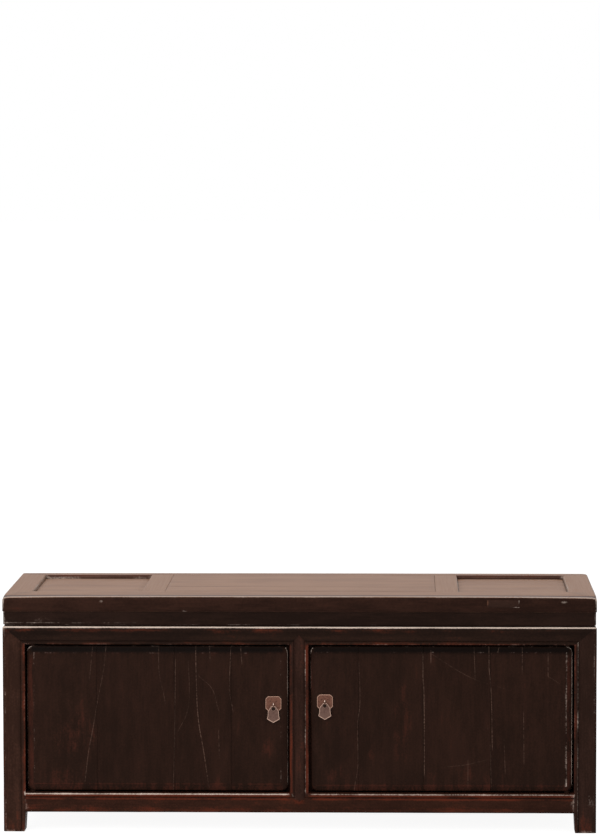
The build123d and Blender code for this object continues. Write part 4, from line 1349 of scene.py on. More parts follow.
@dataclass
class Top(Assembly):
    """The framed top: two long rails, two ends, two cross rails, recessed panels and the inlaid repair."""

    front_width: float = 90.0
    back_width: float = 38.0
    end_width: float = 53.0
    cross_width: float = 47.0
    recess_width: float = 224.0
    recess_depth: float = 8.5
    field_rise: float = 2.0
    field_border: float = 15.0
    panel: float = 8.0
    tongue: float = 7.0
    ledge: float = 12.0
    lap: float = 1.0
    lid: float = 20.0
    bow: float = 0.4
    front_fall: float = 2.2
    front_worn: float = 40.0
    corner_fall: float = 3.0
    corner_worn: float = 14.0
    lines: tuple[float, ...] = (8.0, 13.0, 17.0, 24.0, 31.0)

    @property
    def recess_left(self) -> float:
        """The left side of the left recess."""
        return self.at.left + self.end_width

    @property
    def cross_left(self) -> float:
        """The left side of the left cross rail."""
        return self.recess_left + self.recess_width

    @property
    def lid_left(self) -> float:
        """The left side of the lid's opening."""
        return self.cross_left + self.cross_width

    @property
    def lid_front(self) -> float:
        """The front of the openings."""
        return self.at.front + self.front_width

    @property
    def lid_back(self) -> float:
        """The back of the openings."""
        return self.at.back - self.back_width

    @property
    def edge_levels(self) -> tuple[float, float, float]:
        """The heights at which the outer edge is scribed."""
        return self.at.height - 3.6, self.at.height - 6.5, self.at.top_under + 5.0

    def blank(self) -> Workpiece:
        """The outside of the whole top, with its corners and arrises rounded."""
        at = self.at
        body = Workpiece((at.left, at.front, at.top_under), (at.right, at.back, at.height))
        body.ease(body.edges_at(x=at.right, y=at.back), 14.0, 5)
        for x, y in ((at.left, at.front), (at.right, at.front), (at.left, at.back)):
            body.ease(body.edges_at(x=x, y=y), 5.0, 3)
        body.ease(body.edges_at(z=at.height), 4.0, 4)
        return body.ease(body.edges_at(z=at.top_under), 0.6, 2)

    def sag(self, co: Vector) -> Vector:
        """How far the top lies below its middle: it has bowed, and its front edge and corners are worn."""
        at = self.at
        share = max(0.0, (co.z - at.top_under) / (at.height - at.top_under))
        out = abs(co.x) / at.right
        near = max(0.0, 1.0 - (co.y - at.front) / self.front_worn)
        fall = self.bow * out**2 + self.front_fall * near * out**6
        fall += self.corner_fall * near * max(0.0, 1.0 - (at.right - abs(co.x)) / self.corner_worn) ** 2
        return Vector((0.0, 0.0, -share * fall))

    def arrises(self) -> list[Arris]:
        """The worn edges of the top, with painted highlight and painted shade."""
        at = self.at
        left, right, front, back, top, under = at.left, at.right, at.front, at.back, at.height, at.top_under
        x0, y1 = self.recess_left, self.lid_back
        worn = [
            # The pale line along the front arris is partly wear and partly painted highlight.
            across((left, right), front + 6.5, top, bare=1.2, reach=6.6),
            across((left, right), front + 19.0, top, rub=2.0, rub_reach=9.0),
            across((left, right), back, top, bare=0.6, reach=3.4, rub=0.5, rub_reach=5.0),
            # The lower edge of the front is painted darker.
            across((left, right), front, under, dirt=0.25, dirt_reach=9.0),
            inward(left, (front, back), top, bare=0.5, reach=3.4, rub=0.5, rub_reach=5.0),
            inward(right, (front, back), top, bare=0.5, reach=3.4, rub=0.5, rub_reach=5.0),
            upright(left, front, (top, under), bare=0.9, reach=5.6, fade=0.7),
            upright(right, front, (top, under), bare=0.8, reach=5.6, fade=0.7),
        ]
        for start, end, strength in ((6.0, 39.0, 0.62), (39.0, 76.0, 0.4), (191.0, 218.0, 0.55)):
            worn.append(across((x0 + start, x0 + end), y1, top - 5.4, bare=strength, reach=2.6))
        return worn + self.recess_arrises(1.0) + self.recess_arrises(-1.0)

    def recess_arrises(self, sign: float) -> list[Arris]:
        """The worn edges, painted light and painted shade of a recess and the mitres beside it, for the left
        if the sign is positive.
        """
        at, top, foot = self.at, self.at.height, self.at.height - self.recess_depth
        x0, x1, y0, y1 = self.recess_left, self.cross_left, self.lid_front, self.lid_back
        worn = []
        for (ax, ay), (bx, by) in round_trip([(x0, y0), (x1, y0), (x1, y1), (x0, y1)]):
            back_wall = ay == by == y1
            a, b = (sign * ax, ay), (sign * bx, by)
            worn.append(Arris((*a, top), (*b, top), dirt=0.2, rub=0.7 if back_wall else 0.2, rub_reach=4.0))
            # Painted shade along the foot of the recess walls.
            worn.append(Arris((*a, foot), (*b, foot), dirt=0.9, dirt_reach=3.0 if back_wall else 1.4))
            # Painted light: the side walls of the recess are lightened with the pale colour against their
            # shade.
            if ax == bx:
                worn.append(Arris((*a, top - 4.0), (*b, top - 4.0), bare=0.7, reach=6.0))
        for y, y_in in ((at.front, y0), (at.back, y1)):
            worn.append(Arris((sign * at.left, y, top), (sign * x0, y_in, top), dirt=0.22, dirt_reach=0.8))
        return worn

    def finished(
        self,
        piece: Workpiece,
        node: str,
        key: str,
        tone: float,
        sides: str = "",
        facing: Point = (0.0, 0.0, 0.0),
    ) -> None:
        """Wears, bows and finishes one member of the top.

        Args:
            piece: The member.
            node: Its node.
            key: The name of its finish.
            tone: Its own number.
            sides: The name of the finish of its upright faces, where it is another.
            facing: The way those faces look.
        """
        piece.paint(self.arrises(), tone).hand_work(0.15, 90.0).move(self.sag)
        flanks = self.finishes.get(sides)
        piece.finish(node, "cabinet", "faded_lacquer", self.finishes[key], sides=flanks, facing=facing)

    def long_rail(self, side: Side) -> Workpiece:
        """The front or the back rail, with its ledge for the lid."""
        at, front = self.at, side is Side.FRONT
        y, y_in, sign = (at.front, self.lid_front, 1.0) if front else (at.back, self.lid_back, -1.0)
        rail = self.blank().saw((0, y_in, 0), (0, sign, 0))
        for x, turn in ((at.left, -1.0), (at.right, 1.0)):
            rail.saw((x, y, 0), (turn * abs(y_in - y), sign * self.end_width, 0))
        rail.ease(rail.edges_at(y=y_in, z=at.height), 0.6, 2)
        rail.rule(1, [y + sign * s for s in ((*self.lines, 36.0) if front else self.lines[:1])])
        rail.rule(1, [y_in - sign * 5.0]).rule(2, self.edge_levels)
        rail.slices(0, 9.0 if front else 12.0)
        y_ledge = y_in + sign * self.ledge
        y0, y1 = sorted((y_in - sign * self.lap, y_ledge))
        ledge = Workpiece((self.lid_left, y0, at.top_under), (-self.lid_left, y1, at.height - self.lid))
        return rail.join(ledge.ease(ledge.edges_at(y=y_ledge), 0.8, 2))

    def end(self, hand: Hand) -> Workpiece:
        """An end rail. The back corner of the right one is worn round."""
        at, sign = self.at, hand.value
        inner, outer = -sign * self.recess_left, sign * at.right
        rail = self.blank().saw((inner, 0, 0), (-sign, 0, 0))
        rail.saw((outer, at.front, 0), (-sign * self.front_width, -self.end_width, 0))
        rail.saw((outer, at.back, 0), (-sign * self.back_width, self.end_width, 0))
        rail.ease(rail.edges_at(x=inner, z=at.height), 3.0, 3)
        rail.rule(0, [outer - sign * 6.0, outer - sign * 9.0, inner + sign * 5.0])
        rail.rule(1, [at.front + s for s in self.lines])
        return rail.rule(2, self.edge_levels).slices(1, 12.0)

    def cross(self) -> Workpiece:
        """The left cross rail, with its ledge for the lid."""
        at = self.at
        x0, x1, y0, y1 = self.cross_left, self.lid_left, self.lid_front, self.lid_back
        rail = Workpiece((x0, y0, at.top_under), (x1, y1, at.height))
        rail.ease(rail.edges_at(x=x0, z=at.height), 3.0, 3).ease(rail.edges_at(x=x1, z=at.height), 0.6, 2)
        rail.rule(0, [x0 + 5.0, x1 - 5.0]).rule(2, [at.height - 8.0]).slices(1, 16.0)
        low = (x1 - self.lap, y0 + self.ledge, at.top_under)
        return rail.join(Workpiece(low, (x1 + self.ledge, y1 - self.ledge, at.height - self.lid)))

    def recessed_panel(self) -> Workpiece:
        """The left recessed panel with its raised field and its tongues."""
        top, border, tongue = self.at.height - self.recess_depth, self.field_border, self.tongue
        x0, x1, y0, y1 = self.recess_left, self.cross_left, self.lid_front, self.lid_back
        panel = Workpiece((x0 - tongue, y0 - tongue, top - self.panel), (x1 + tongue, y1 + tongue, top))
        steps = (0.0, 3.0, border * 0.5, border, border + 4.0)
        for axis, first, last in ((0, x0, x1), (1, y0, y1)):
            panel.rule(axis, [first + s for s in steps] + [last - s for s in steps]).slices(axis, 20.0)

        def rise(co: Vector) -> Vector:
            if co.z < top - 1.0:
                return Vector()
            inside = min(co.x - x0, x1 - co.x, co.y - y0, y1 - co.y)
            return Vector((0.0, 0.0, self.field_rise * clamp(inside / border)))

        return panel.move(rise)

    def panel_batten(self, node: str) -> Workpiece:
        """The batten under a recessed panel."""
        low, high = corners(node)
        mouth = self.at.height - self.recess_depth - self.panel
        batten = Workpiece(tuple(low), (high.x, high.y, mouth - 0.1))
        return batten.ease(batten.edges_at(z=low.z), 1.0, 2).slices(1, 30.0)

    def repair(self) -> None:
        """The strip let into the front edge, a little proud of it."""
        low, high = corners("front_patch")
        x0, x1, y, z0, z1 = low.x, high.x, low.y, low.z, high.z
        face = y - 0.12
        strip = Workpiece((x0, face, z0), (x1, high.y, z1))
        strip.ease(strip.edges_at(y=face), 0.4, 2).slices(0, 5.0).slices(2, 3.0)
        worn = [
            Arris((x1, y, z1), (x1 - 3.0, y, z0), bare=0.42, reach=1.6),
            across((x1, x1 - 20.0), y, z0, bare=0.6, reach=1.6, fade=0.5),
            upright(x0, y, (z1, z0), rub=0.5, rub_reach=2.0),
            across((x0, x1), y, z1, rub=0.25, rub_reach=1.6),
            across((x0, x1 - 20.0), y, z0, rub=0.35, rub_reach=1.6),
        ]
        strip.paint(worn, 8.0).move(self.sag)
        strip.finish("front_patch", "cabinet", "dark_lacquer", self.finishes["patch"])

    def build(self) -> None:
        """Makes the members of the top."""
        front, back, forwards = self.long_rail(Side.FRONT), self.long_rail(Side.BACK), (0.0, -1.0, 0.0)
        self.finished(front, "top_front_rail", "top_x", 0.6, "frieze_x", forwards)
        self.finished(back, "top_back_rail", "top_x", 1.9, "wall")
        for hand in Hand:
            word, sign = hand.word, hand.value
            outwards = (float(sign), 0.0, 0.0)
            self.finished(self.end(hand), f"top_end_{word}", "top_y", 4.4 + 1.7 * sign, "frieze_y", outwards)
            self.finished(self.cross().for_hand(hand), f"top_cross_{word}", "top_y", 3.3 + sign)
            self.finished(self.recessed_panel().for_hand(hand), f"top_panel_{word}", "top_x", 5.1 + sign)
            node = f"top_panel_batten_{word}"
            self.bare(self.panel_batten(node).paint(tone=1.4).hand_work(0.15), node, "wood_y")
        self.repair()


@dataclass
class Lid(Assembly):
    """The loose lid of two boards on two battens."""

    top: Top = field(default_factory=Top)
    gap: float = 0.4
    joint_gap: float = 0.1
    thickness: float = 20.0
    front_board: float = 78.0
    batten: float = 36.0

    @property
    def left(self) -> float:
        """The left end of the lid."""
        return self.top.lid_left + self.gap

    def board(self, y0: float, y1: float) -> Workpiece:
        """One board between two depths."""
        z1 = self.at.height
        board = Workpiece((self.left, y0, z1 - self.thickness), (-self.left, y1, z1))
        board.ease(board.edges_at(z=z1), 0.5, 2)
        return board.rule(1, [y0 + 5.0, y1 - 5.0]).slices(0, 14.0)

    def battens(self) -> Workpiece:
        """The two battens under the boards."""
        low, high = corners("lid_battens")
        mouth, pair = self.at.height - self.thickness, Workpiece()
        for x in (low.x, high.x - self.batten):
            bar = Workpiece((x, low.y, low.z), (x + self.batten, high.y, mouth - 0.05))
            pair.join(bar.ease(bar.edges_at(z=low.z), 1.2, 2).slices(1, 25.0))
        return pair

    def build(self) -> None:
        """Makes the boards and the battens."""
        top, x, z = self.top, self.left, self.at.height
        y0, y1 = top.lid_front + self.gap, top.lid_back - self.gap
        joint = y0 + self.front_board
        worn = [across((x, -x), y, z, dirt=0.2, rub=0.3, rub_reach=3.5) for y in (y0, joint, y1)]
        worn += [inward(end, (y0, y1), z, dirt=0.06, rub=0.05, rub_reach=2.0) for end in (x, -x)]
        boards = (
            ("lid_board_front", self.board(y0, joint - self.joint_gap), 4.2),
            ("lid_board_back", self.board(joint + self.joint_gap, y1), 7.7),
        )
        for node, board, tone in boards:
            board.paint(worn, tone).hand_work(0.15, 90.0).move(top.sag)
            board.finish(node, "lid", "faded_lacquer", self.finishes["top_x"])
        self.bare(self.battens().paint(tone=3.3).hand_work(0.15), "lid_battens", "wood_y", "lid")


@dataclass(frozen=True)
class DoorWear:
    """How pale the edges of a door are: worn bare, and along the rims and corners partly a painted highlight.

    Attributes:
        free: The rim at the free edge, 0 to 1.
        hung: The rim at the edge with the pins.
        hung_reach: How far that wear goes.
        inner_free: The inner line of the bevel beside the free edge.
        inner_hung: The same line beside the other edge.
        inner_top: The upper end of that line.
        inner_foot: Its lower end.
        chipped: The side of the door, as on the left one, whose rim is chipped at the top.
    """

    free: float
    hung: float
    hung_reach: float
    inner_free: float
    inner_hung: float
    inner_top: float
    inner_foot: float
    chipped: Hand


@dataclass
class Door(Assembly):
    """One door: four planks with a bevelled border, two battens, a plate, an eye pin and a pull.

    It is made for the left and mirrored for the right.
    """

    hand: Hand
    joints: tuple[float, float, float]
    plate_z: float
    eye_z: float
    worn: DoorWear
    bevel: float = 14.0
    slack: float = 0.0
    thickness: float = 20.0
    setback: float = 6.0
    corner: float = 13.0
    fall: float = 3.5
    rim: float = 1.6
    border_strip: float = 16.5
    half_joint: float = 0.09
    x0: float = -551.0
    x1: float = -23.0
    z0: float = 83.5
    z1: float = 378.5
    pivot_x: float = -541.0
    pivot_radius: float = 6.0
    pivot_root: float = 12.0
    upper_pin: float = 13.0
    lower_pin: float = 10.0
    batten: float = 40.0
    batten_depth: float = 4.0
    pull_x: float = 52.0
    plate_rise: float = 1.2
    ring_stand: float = 4.9
    hole_drop: float = 7.1

    @property
    def face(self) -> float:
        """The front of the door."""
        return self.at.front + self.setback

    @property
    def rear(self) -> float:
        """The back of the door."""
        return self.face + self.thickness

    @property
    def ring_y(self) -> float:
        """The middle of the eye pin's ring, before the plate."""
        return self.face - self.plate_rise - self.ring_stand

    @property
    def hole_z(self) -> float:
        """The middle of the pull's hole, under the ring."""
        return self.eye_z - self.hole_drop

    def border(self, co: Vector) -> Vector:
        """How far the front falls back near the door's edges."""
        if co.y > self.face + NEAR:
            return Vector()
        dx = min(co.x - self.x0, self.x1 - co.x)
        dz = min(co.z - self.z0, self.z1 - co.z)
        back = self.fall * max(0.0, 1.0 - min(dx, dz) / self.bevel)
        rim = min(dx, dz)
        if dx < self.corner and dz < self.corner:
            rim = self.corner - math.hypot(self.corner - dx, self.corner - dz)
        if rim < self.rim:
            inside = self.rim - max(0.0, rim)
            back += self.rim - math.sqrt(max(0.0, self.rim**2 - inside**2))
        return Vector((0.0, back, 0.0))

    def plane_off(self, co: Vector) -> Vector:
        """What is planed off the free edge, which is most at the foot."""
        near = max(0.0, 1.0 - (self.x1 - co.x) / self.border_strip)
        return Vector((-self.slack * near * (self.z1 - co.z) / (self.z1 - self.z0), 0.0, 0.0))

    def board(self) -> Workpiece:
        """The whole door before it is sawn into planks."""
        board = Workpiece((self.x0, self.face, self.z0), (self.x1, self.rear, self.z1))
        board.ease(board.edges_along(1), self.corner, 6)
        board.ease(board.edges_at(x=self.x0, y=self.rear), 4.5, 3)
        strip = self.border_strip
        steps = (0.35, 0.9, 1.6, 3.5, 6.0, 9.0, self.bevel - 2.0, self.bevel, strip)
        board.rule(0, [self.x0 + s for s in steps] + [self.x1 - s for s in steps])
        board.rule(2, [self.z0 + s for s in steps] + [self.z1 - s for s in steps])
        for axis, low, high, count in ((2, self.z0, self.z1, 18), (0, self.x0, self.x1, 24)):
            board.rule(axis, [low + strip + (high - low - 2 * strip) * i / count for i in range(1, count)])
        return board.move(self.border).move(self.plane_off)

    def arrises(self) -> list[Arris]:
        """The worn edges of the door, with their painted highlights and painted shade, as on the left one."""
        x0, x1, z0, z1, worn = self.x0, self.x1, self.z0, self.z1, self.worn
        rim, face, b, c = self.face + self.fall + 0.6, self.face, self.bevel, self.corner
        inner_x, inner_z, outer_z = (x0 + b, x1 - b), (z0 + b, z1 - b), (z0 + c, z1 - c)
        chipped = x0 if worn.chipped is Hand.LEFT else x1
        lines = [
            # The pale rims are partly wear and partly painted highlight.
            upright(x1, rim, outer_z, bare=worn.free, reach=1.7, rub=0.3, rub_reach=5.0),
            upright(x0, rim, outer_z, bare=worn.hung, reach=worn.hung_reach, rub=0.3, rub_reach=5.0),
            upright(x0 + 7.0, rim - 2.0, (z0 + c, z1 - 22.0), rub=0.5, rub_reach=9.0),
            upright(x1 - b, face, inner_z, bare=worn.inner_free, reach=1.4),
            upright(x0 + b, face, inner_z, bare=worn.inner_hung, reach=1.3),
            upright(x0 + b, face, (z1 - 18.0, z1 - 50.0), bare=worn.inner_top, reach=4.5),
            upright(x0 + b, face, (z0 + b, z0 + b + 4.0), bare=worn.inner_foot, reach=2.4),
            # Painted shade: the top bevel under the head rail is darkened across its width.
            across(inner_x, face, z1 - 7.0, dirt=1.0, dirt_reach=10.5),
            across(inner_x, face, z1 - b, bare=0.16, reach=1.3, rub=0.35, rub_reach=3.0),
            across(inner_x, face, z0 + b, rub=0.55, rub_reach=3.0),
            across(inner_x, face, z0 + 6.0, rub=0.38, rub_reach=12.0),
            across((x0, x1), rim, z0, rub=0.3, rub_reach=8.0),
            across((x0, x1), rim, z1, bare=0.2, rub=0.2, rub_reach=2.5),
            # Painted highlight and wear on the rounded upper corners.
            Arris((x0 + 3.8, rim, z1 - 3.8), (x0 + 11.0, rim, z1 - 0.4), bare=1.1, reach=2.4, fade=0.5),
            Arris((x0 + 3.8, rim, z1 - 3.8), (x0 + 0.4, rim, z1 - 11.0), bare=1.0, reach=2.2, fade=0.6),
            Arris((x1 - 3.8, rim, z1 - 3.8), (x1 - 0.5, rim, z1 - 14.0), bare=0.9, reach=2.2, fade=0.4),
            upright(chipped, rim, (z1 - 12.0, z1 - 70.0), bare=0.9, reach=1.8, fade=0.6),
        ]
        for x, dirt in zip(self.joints, (0.1, 0.2, 0.1)):
            lines.append(upright(x, face, (z1, z0), bare=0.12, reach=0.7, dirt=dirt))
        return lines

    def planks(self) -> None:
        """Saws the board into its planks and gives the outer one its pins."""
        board, worn = self.board(), self.arrises()
        edges = [self.x0 - 1.0, *self.joints, self.x1 + 1.0]
        last, first_tone = len(self.joints), 5.0 if self.hand is Hand.RIGHT else 0.0
        for index, (low, high) in enumerate(zip(edges, edges[1:])):
            plank, sides = board.copy(), (low + self.half_joint, high - self.half_joint)
            if index > 0:
                plank.saw((sides[0], 0, 0), (-1, 0, 0))
            if index < last:
                plank.saw((sides[1], 0, 0), (1, 0, 0))
            for x in sides:
                shoulder = plank.edges_where(lambda co, x=x: abs(co.x - x) < NEAR and co.y < self.rear - 5.0)
                plank.ease(shoulder, 0.28, 1, clamped=False)
            plank.paint(worn, 1.7 * index + first_tone).hand_work(0.16, 80.0)
            if index == 0:
                self.add_pins(plank)
            self.give(plank, f"plank_{index + 1}", "dark_lacquer", f"door_{self.hand.word}")

    def add_pins(self, plank: Workpiece) -> None:
        """Adds the two wooden pins that the door turns on."""
        x, y = self.pivot_x, self.face + self.thickness / 2
        upper = (self.z1 - self.pivot_root, self.at.head + self.upper_pin)
        lower = (self.at.sill - self.lower_pin, self.z0 + self.pivot_root)
        for low, high in (upper, lower):
            pin = Workpiece()
            bmesh.ops.create_cone(
                pin.bm,
                cap_ends=True,
                segments=32,
                radius1=self.pivot_radius,
                radius2=self.pivot_radius,
                depth=high - low,
                matrix=Matrix.Translation((x, y, (low + high) / 2)),
            )
            plank.join(pin.ease(pin.edges_at(z=low) + pin.edges_at(z=high), 0.8, 2).paint())

    def give(
        self, piece: Workpiece, part: str, slot: str, key: str, body: str = "door", angle: float = 40.0
    ) -> None:
        """Finishes a piece of this door, mirrored if the door is the right one.

        Args:
            piece: The piece, as on the left door.
            part: What it is called after the door's name.
            slot: The record's material slot.
            key: The name of its finish.
            body: The body that carries it, without the side.
            angle: The angle in degrees above which an edge is drawn sharp.
        """
        side = self.hand.word
        made = piece.for_hand(self.hand)
        made.finish(f"door_{side}_{part}", f"{body}_{side}", slot, self.finishes[key], angle=angle)

    def battens(self) -> None:
        """The two battens dovetailed across the back."""
        low, high = corners("door_left_battens")
        pair = Workpiece()
        for z in (low.z, high.z - self.batten):
            bar = Workpiece((low.x, self.rear - self.batten_depth, z), (high.x, high.y, z + self.batten))
            pair.join(bar.ease(bar.edges_at(y=high.y), 1.5, 2).slices(0, 30.0))
        self.give(pair.paint(tone=6.4).hand_work(0.15), "battens", "bare_wood", "wood_x")

    def plate(self) -> None:
        """The plate behind the pull, with clipped corners and a raised rim."""
        x, z, face = -self.pull_x, self.plate_z, self.face
        plate = Workpiece((x - 16.0, face - 0.7, z - 15.0), (x + 16.0, face, z + 14.6))
        plate.ease(plate.edges_along(1, 0.1), 4.9, 1)
        plate.bm.faces.ensure_lookup_table()
        outer = min(plate.bm.faces, key=lambda f: f.calc_center_median().y)
        plate.inset([outer], (0.45, 0.5), (1.5, 0.0), (0.7, -0.45), (2.0, 0.0)).slices(0, 2.0).slices(2, 2.0)
        w, h, c, rim_y = 15.1, 13.9, 4.5, face - self.plate_rise
        upper = [(-w, h - c), (c - w, h), (w - c, h), (w, h - c)]
        ring = upper + [(-a, -b) for a, b in upper]
        worn = [
            Arris((x + ax, rim_y, z + az), (x + bx, rim_y, z + bz), bare=1.3, reach=1.1)
            for (ax, az), (bx, bz) in round_trip(ring)
        ]
        # Two small dark spots at the nail places, and painted shade on the plate behind the pull's hole.
        for side, level, reach in ((-6.3, z + 5.0, 0.9), (6.3, z + 5.0, 0.9), (0.0, self.hole_z, 6.5)):
            worn.append(spot((x + side, face - 0.8, level), dirt=0.95, dirt_reach=reach))
        self.give(plate.paint(worn, 0.2), "plate", "old_brass", "brass", angle=20.0)

    def eye(self) -> None:
        """The split pin: a ring, a shank of two half wires and two clinched ends."""
        x, y, z, rear = -self.pull_x, self.ring_y, self.eye_z, self.rear
        eye, ring, wire = Workpiece(), 4.5, 0.9
        place = Matrix.Translation((x, y - ring, z))
        start = bmesh.ops.create_circle(eye.bm, segments=14, radius=wire, matrix=place)["verts"]
        bmesh.ops.spin(
            eye.bm,
            geom=[*start, *{edge for vert in start for edge in vert.link_edges}],
            cent=(x, y, z),
            axis=(1.0, 0.0, 0.0),
            angle=math.tau,
            steps=36,
            use_merge=True,
        )
        for sign in (-1.0, 1.0):
            low, high = sorted((z + sign * 0.06, z + sign * 1.35))
            half = Workpiece((x - 1.35, y + 3.9, low), (x + 1.35, rear + 0.6, high))
            outer = [edge for edge in half.edges_along(1) if abs(edge.verts[0].co.z - z) > 1.0]
            eye.join(half.ease(outer, 1.0, 3))
            low, high = sorted((z, z + sign * 12.0))
            end = Workpiece((x - 1.2, rear, low), (x + 1.2, rear + 1.0, high))
            eye.join(end.ease(end.edges_at(y=rear + 1.0), 0.35, 2))
        # Painted highlight on the upper front of the ring, and painted shade on its lower front.
        worn = [
            Arris((x, y - 4.2, z + 3.2), (x, y - 1.0, z + 5.2), bare=1.5, reach=2.2),
            Arris((x, y - 5.0, z), (x, y - 3.0, z - 4.0), dirt=0.3, dirt_reach=3.0),
        ]
        self.give(eye.paint(worn, 0.5), "eye_pin", "old_brass", "brass_pin")

    @staticmethod
    def bell() -> list[Flat]:
        """The outline of a pull as (x, z) from the middle of its hole."""
        side = [
            *arc((0.0, 6.5), (4.4, 4.9), (6.4, 2.0), 6),
            *arc((9.6, -2.0), (11.1, -5.6), (11.4, -9.8), 5),
            *arc((11.4, -9.8), (12.0, -15.0), (13.4, -20.2), 6)[1:],
            (12.2, -22.1),
        ]
        whole = [*side, (0.0, -28.8), *[(-a, b) for a, b in reversed(side[1:])]]
        return [(a * 0.96, b * 0.98) for a, b in whole]

    def pull(self) -> None:
        """The drop pull: a bell with a pointed foot, a raised rim and a hole."""
        x, hole, front, thickness, bore = -self.pull_x, self.hole_z, self.ring_y - 0.8, 1.6, 3.8
        outline, leaf = self.bell(), Workpiece()
        rim = [leaf.bm.verts.new((x + a, front, hole + b)) for a, b in outline]
        for ends in round_trip(rim):
            leaf.bm.edges.new(ends)
        place = Matrix.Translation((x, front, hole)) @ Matrix.Rotation(math.pi / 2, 4, "X")
        bmesh.ops.create_circle(leaf.bm, segments=28, radius=bore, matrix=place)
        bmesh.ops.triangle_fill(leaf.bm, use_beauty=True, edges=list(leaf.bm.edges))
        made = bmesh.ops.extrude_face_region(leaf.bm, geom=list(leaf.bm.faces))["geom"]
        deep = [item for item in made if isinstance(item, bmesh.types.BMVert)]
        bmesh.ops.translate(leaf.bm, vec=(0.0, thickness, 0.0), verts=deep)
        bmesh.ops.recalc_face_normals(leaf.bm, faces=leaf.bm.faces)
        leaf.ease([e for e in leaf.edges_at(y=front) if e.calc_face_angle(0.0) > 1.0], 0.3, 2)
        flat = [f for f in leaf.bm.faces if all(abs(v.co.y - front) < NEAR for v in f.verts)]
        leaf.inset(flat, (0.65, 0.0), (0.25, -0.3)).slices(0, 1.5).slices(2, 1.5)
        worn = []
        for pair in round_trip(outline):
            ends = [(x + a * 0.96, front, hole + b * 0.97) for a, b in pair]
            worn.append(Arris(*ends, bare=1.1, reach=1.0))
        for step in range(16):
            turn = math.tau * step / 16
            place = (x + 4.1 * math.cos(turn), front, hole + 4.1 * math.sin(turn))
            worn.append(spot(place, bare=0.6, reach=1.0))
        self.give(leaf.paint(worn, 0.9), "pull", "old_brass", "brass_pull", "pull", angle=14.0)

    def build(self) -> None:
        """Makes all pieces of the door."""
        self.planks()
        self.battens()
        self.plate()
        self.eye()
        self.pull()


def arc(start: Flat, middle: Flat, end: Flat, steps: int) -> list[Flat]:
    """Points on the circle through three points.

    Args:
        start: The first point.
        middle: A point between.
        end: The last point.
        steps: How many parts it is divided into.

    Returns:
        The points, both ends among them.
    """
    (ax, ay), (bx, by), (cx, cy) = start, middle, end
    d = 2 * (ax * (by - cy) + bx * (cy - ay) + cx * (ay - by))
    ux = ((ax**2 + ay**2) * (by - cy) + (bx**2 + by**2) * (cy - ay) + (cx**2 + cy**2) * (ay - by)) / d
    uy = ((ax**2 + ay**2) * (cx - bx) + (bx**2 + by**2) * (ax - cx) + (cx**2 + cy**2) * (bx - ax)) / d
    radius = math.hypot(ax - ux, ay - uy)
    first, mid, last = (math.atan2(py - uy, px - ux) for px, py in (start, middle, end))
    turn = (last - first + math.pi) % math.tau - math.pi
    if not min(0, turn) <= (mid - first + math.pi) % math.tau - math.pi <= max(0, turn):
        turn -= math.copysign(math.tau, turn)
    angles = [first + turn * i / steps for i in range(steps + 1)]
    return [(ux + radius * math.cos(angle), uy + radius * math.sin(angle)) for angle in angles]


# Studio


def grey(level: float) -> Colour:
    """A grey of a linear brightness."""
    return (level, level, level, 1.0)


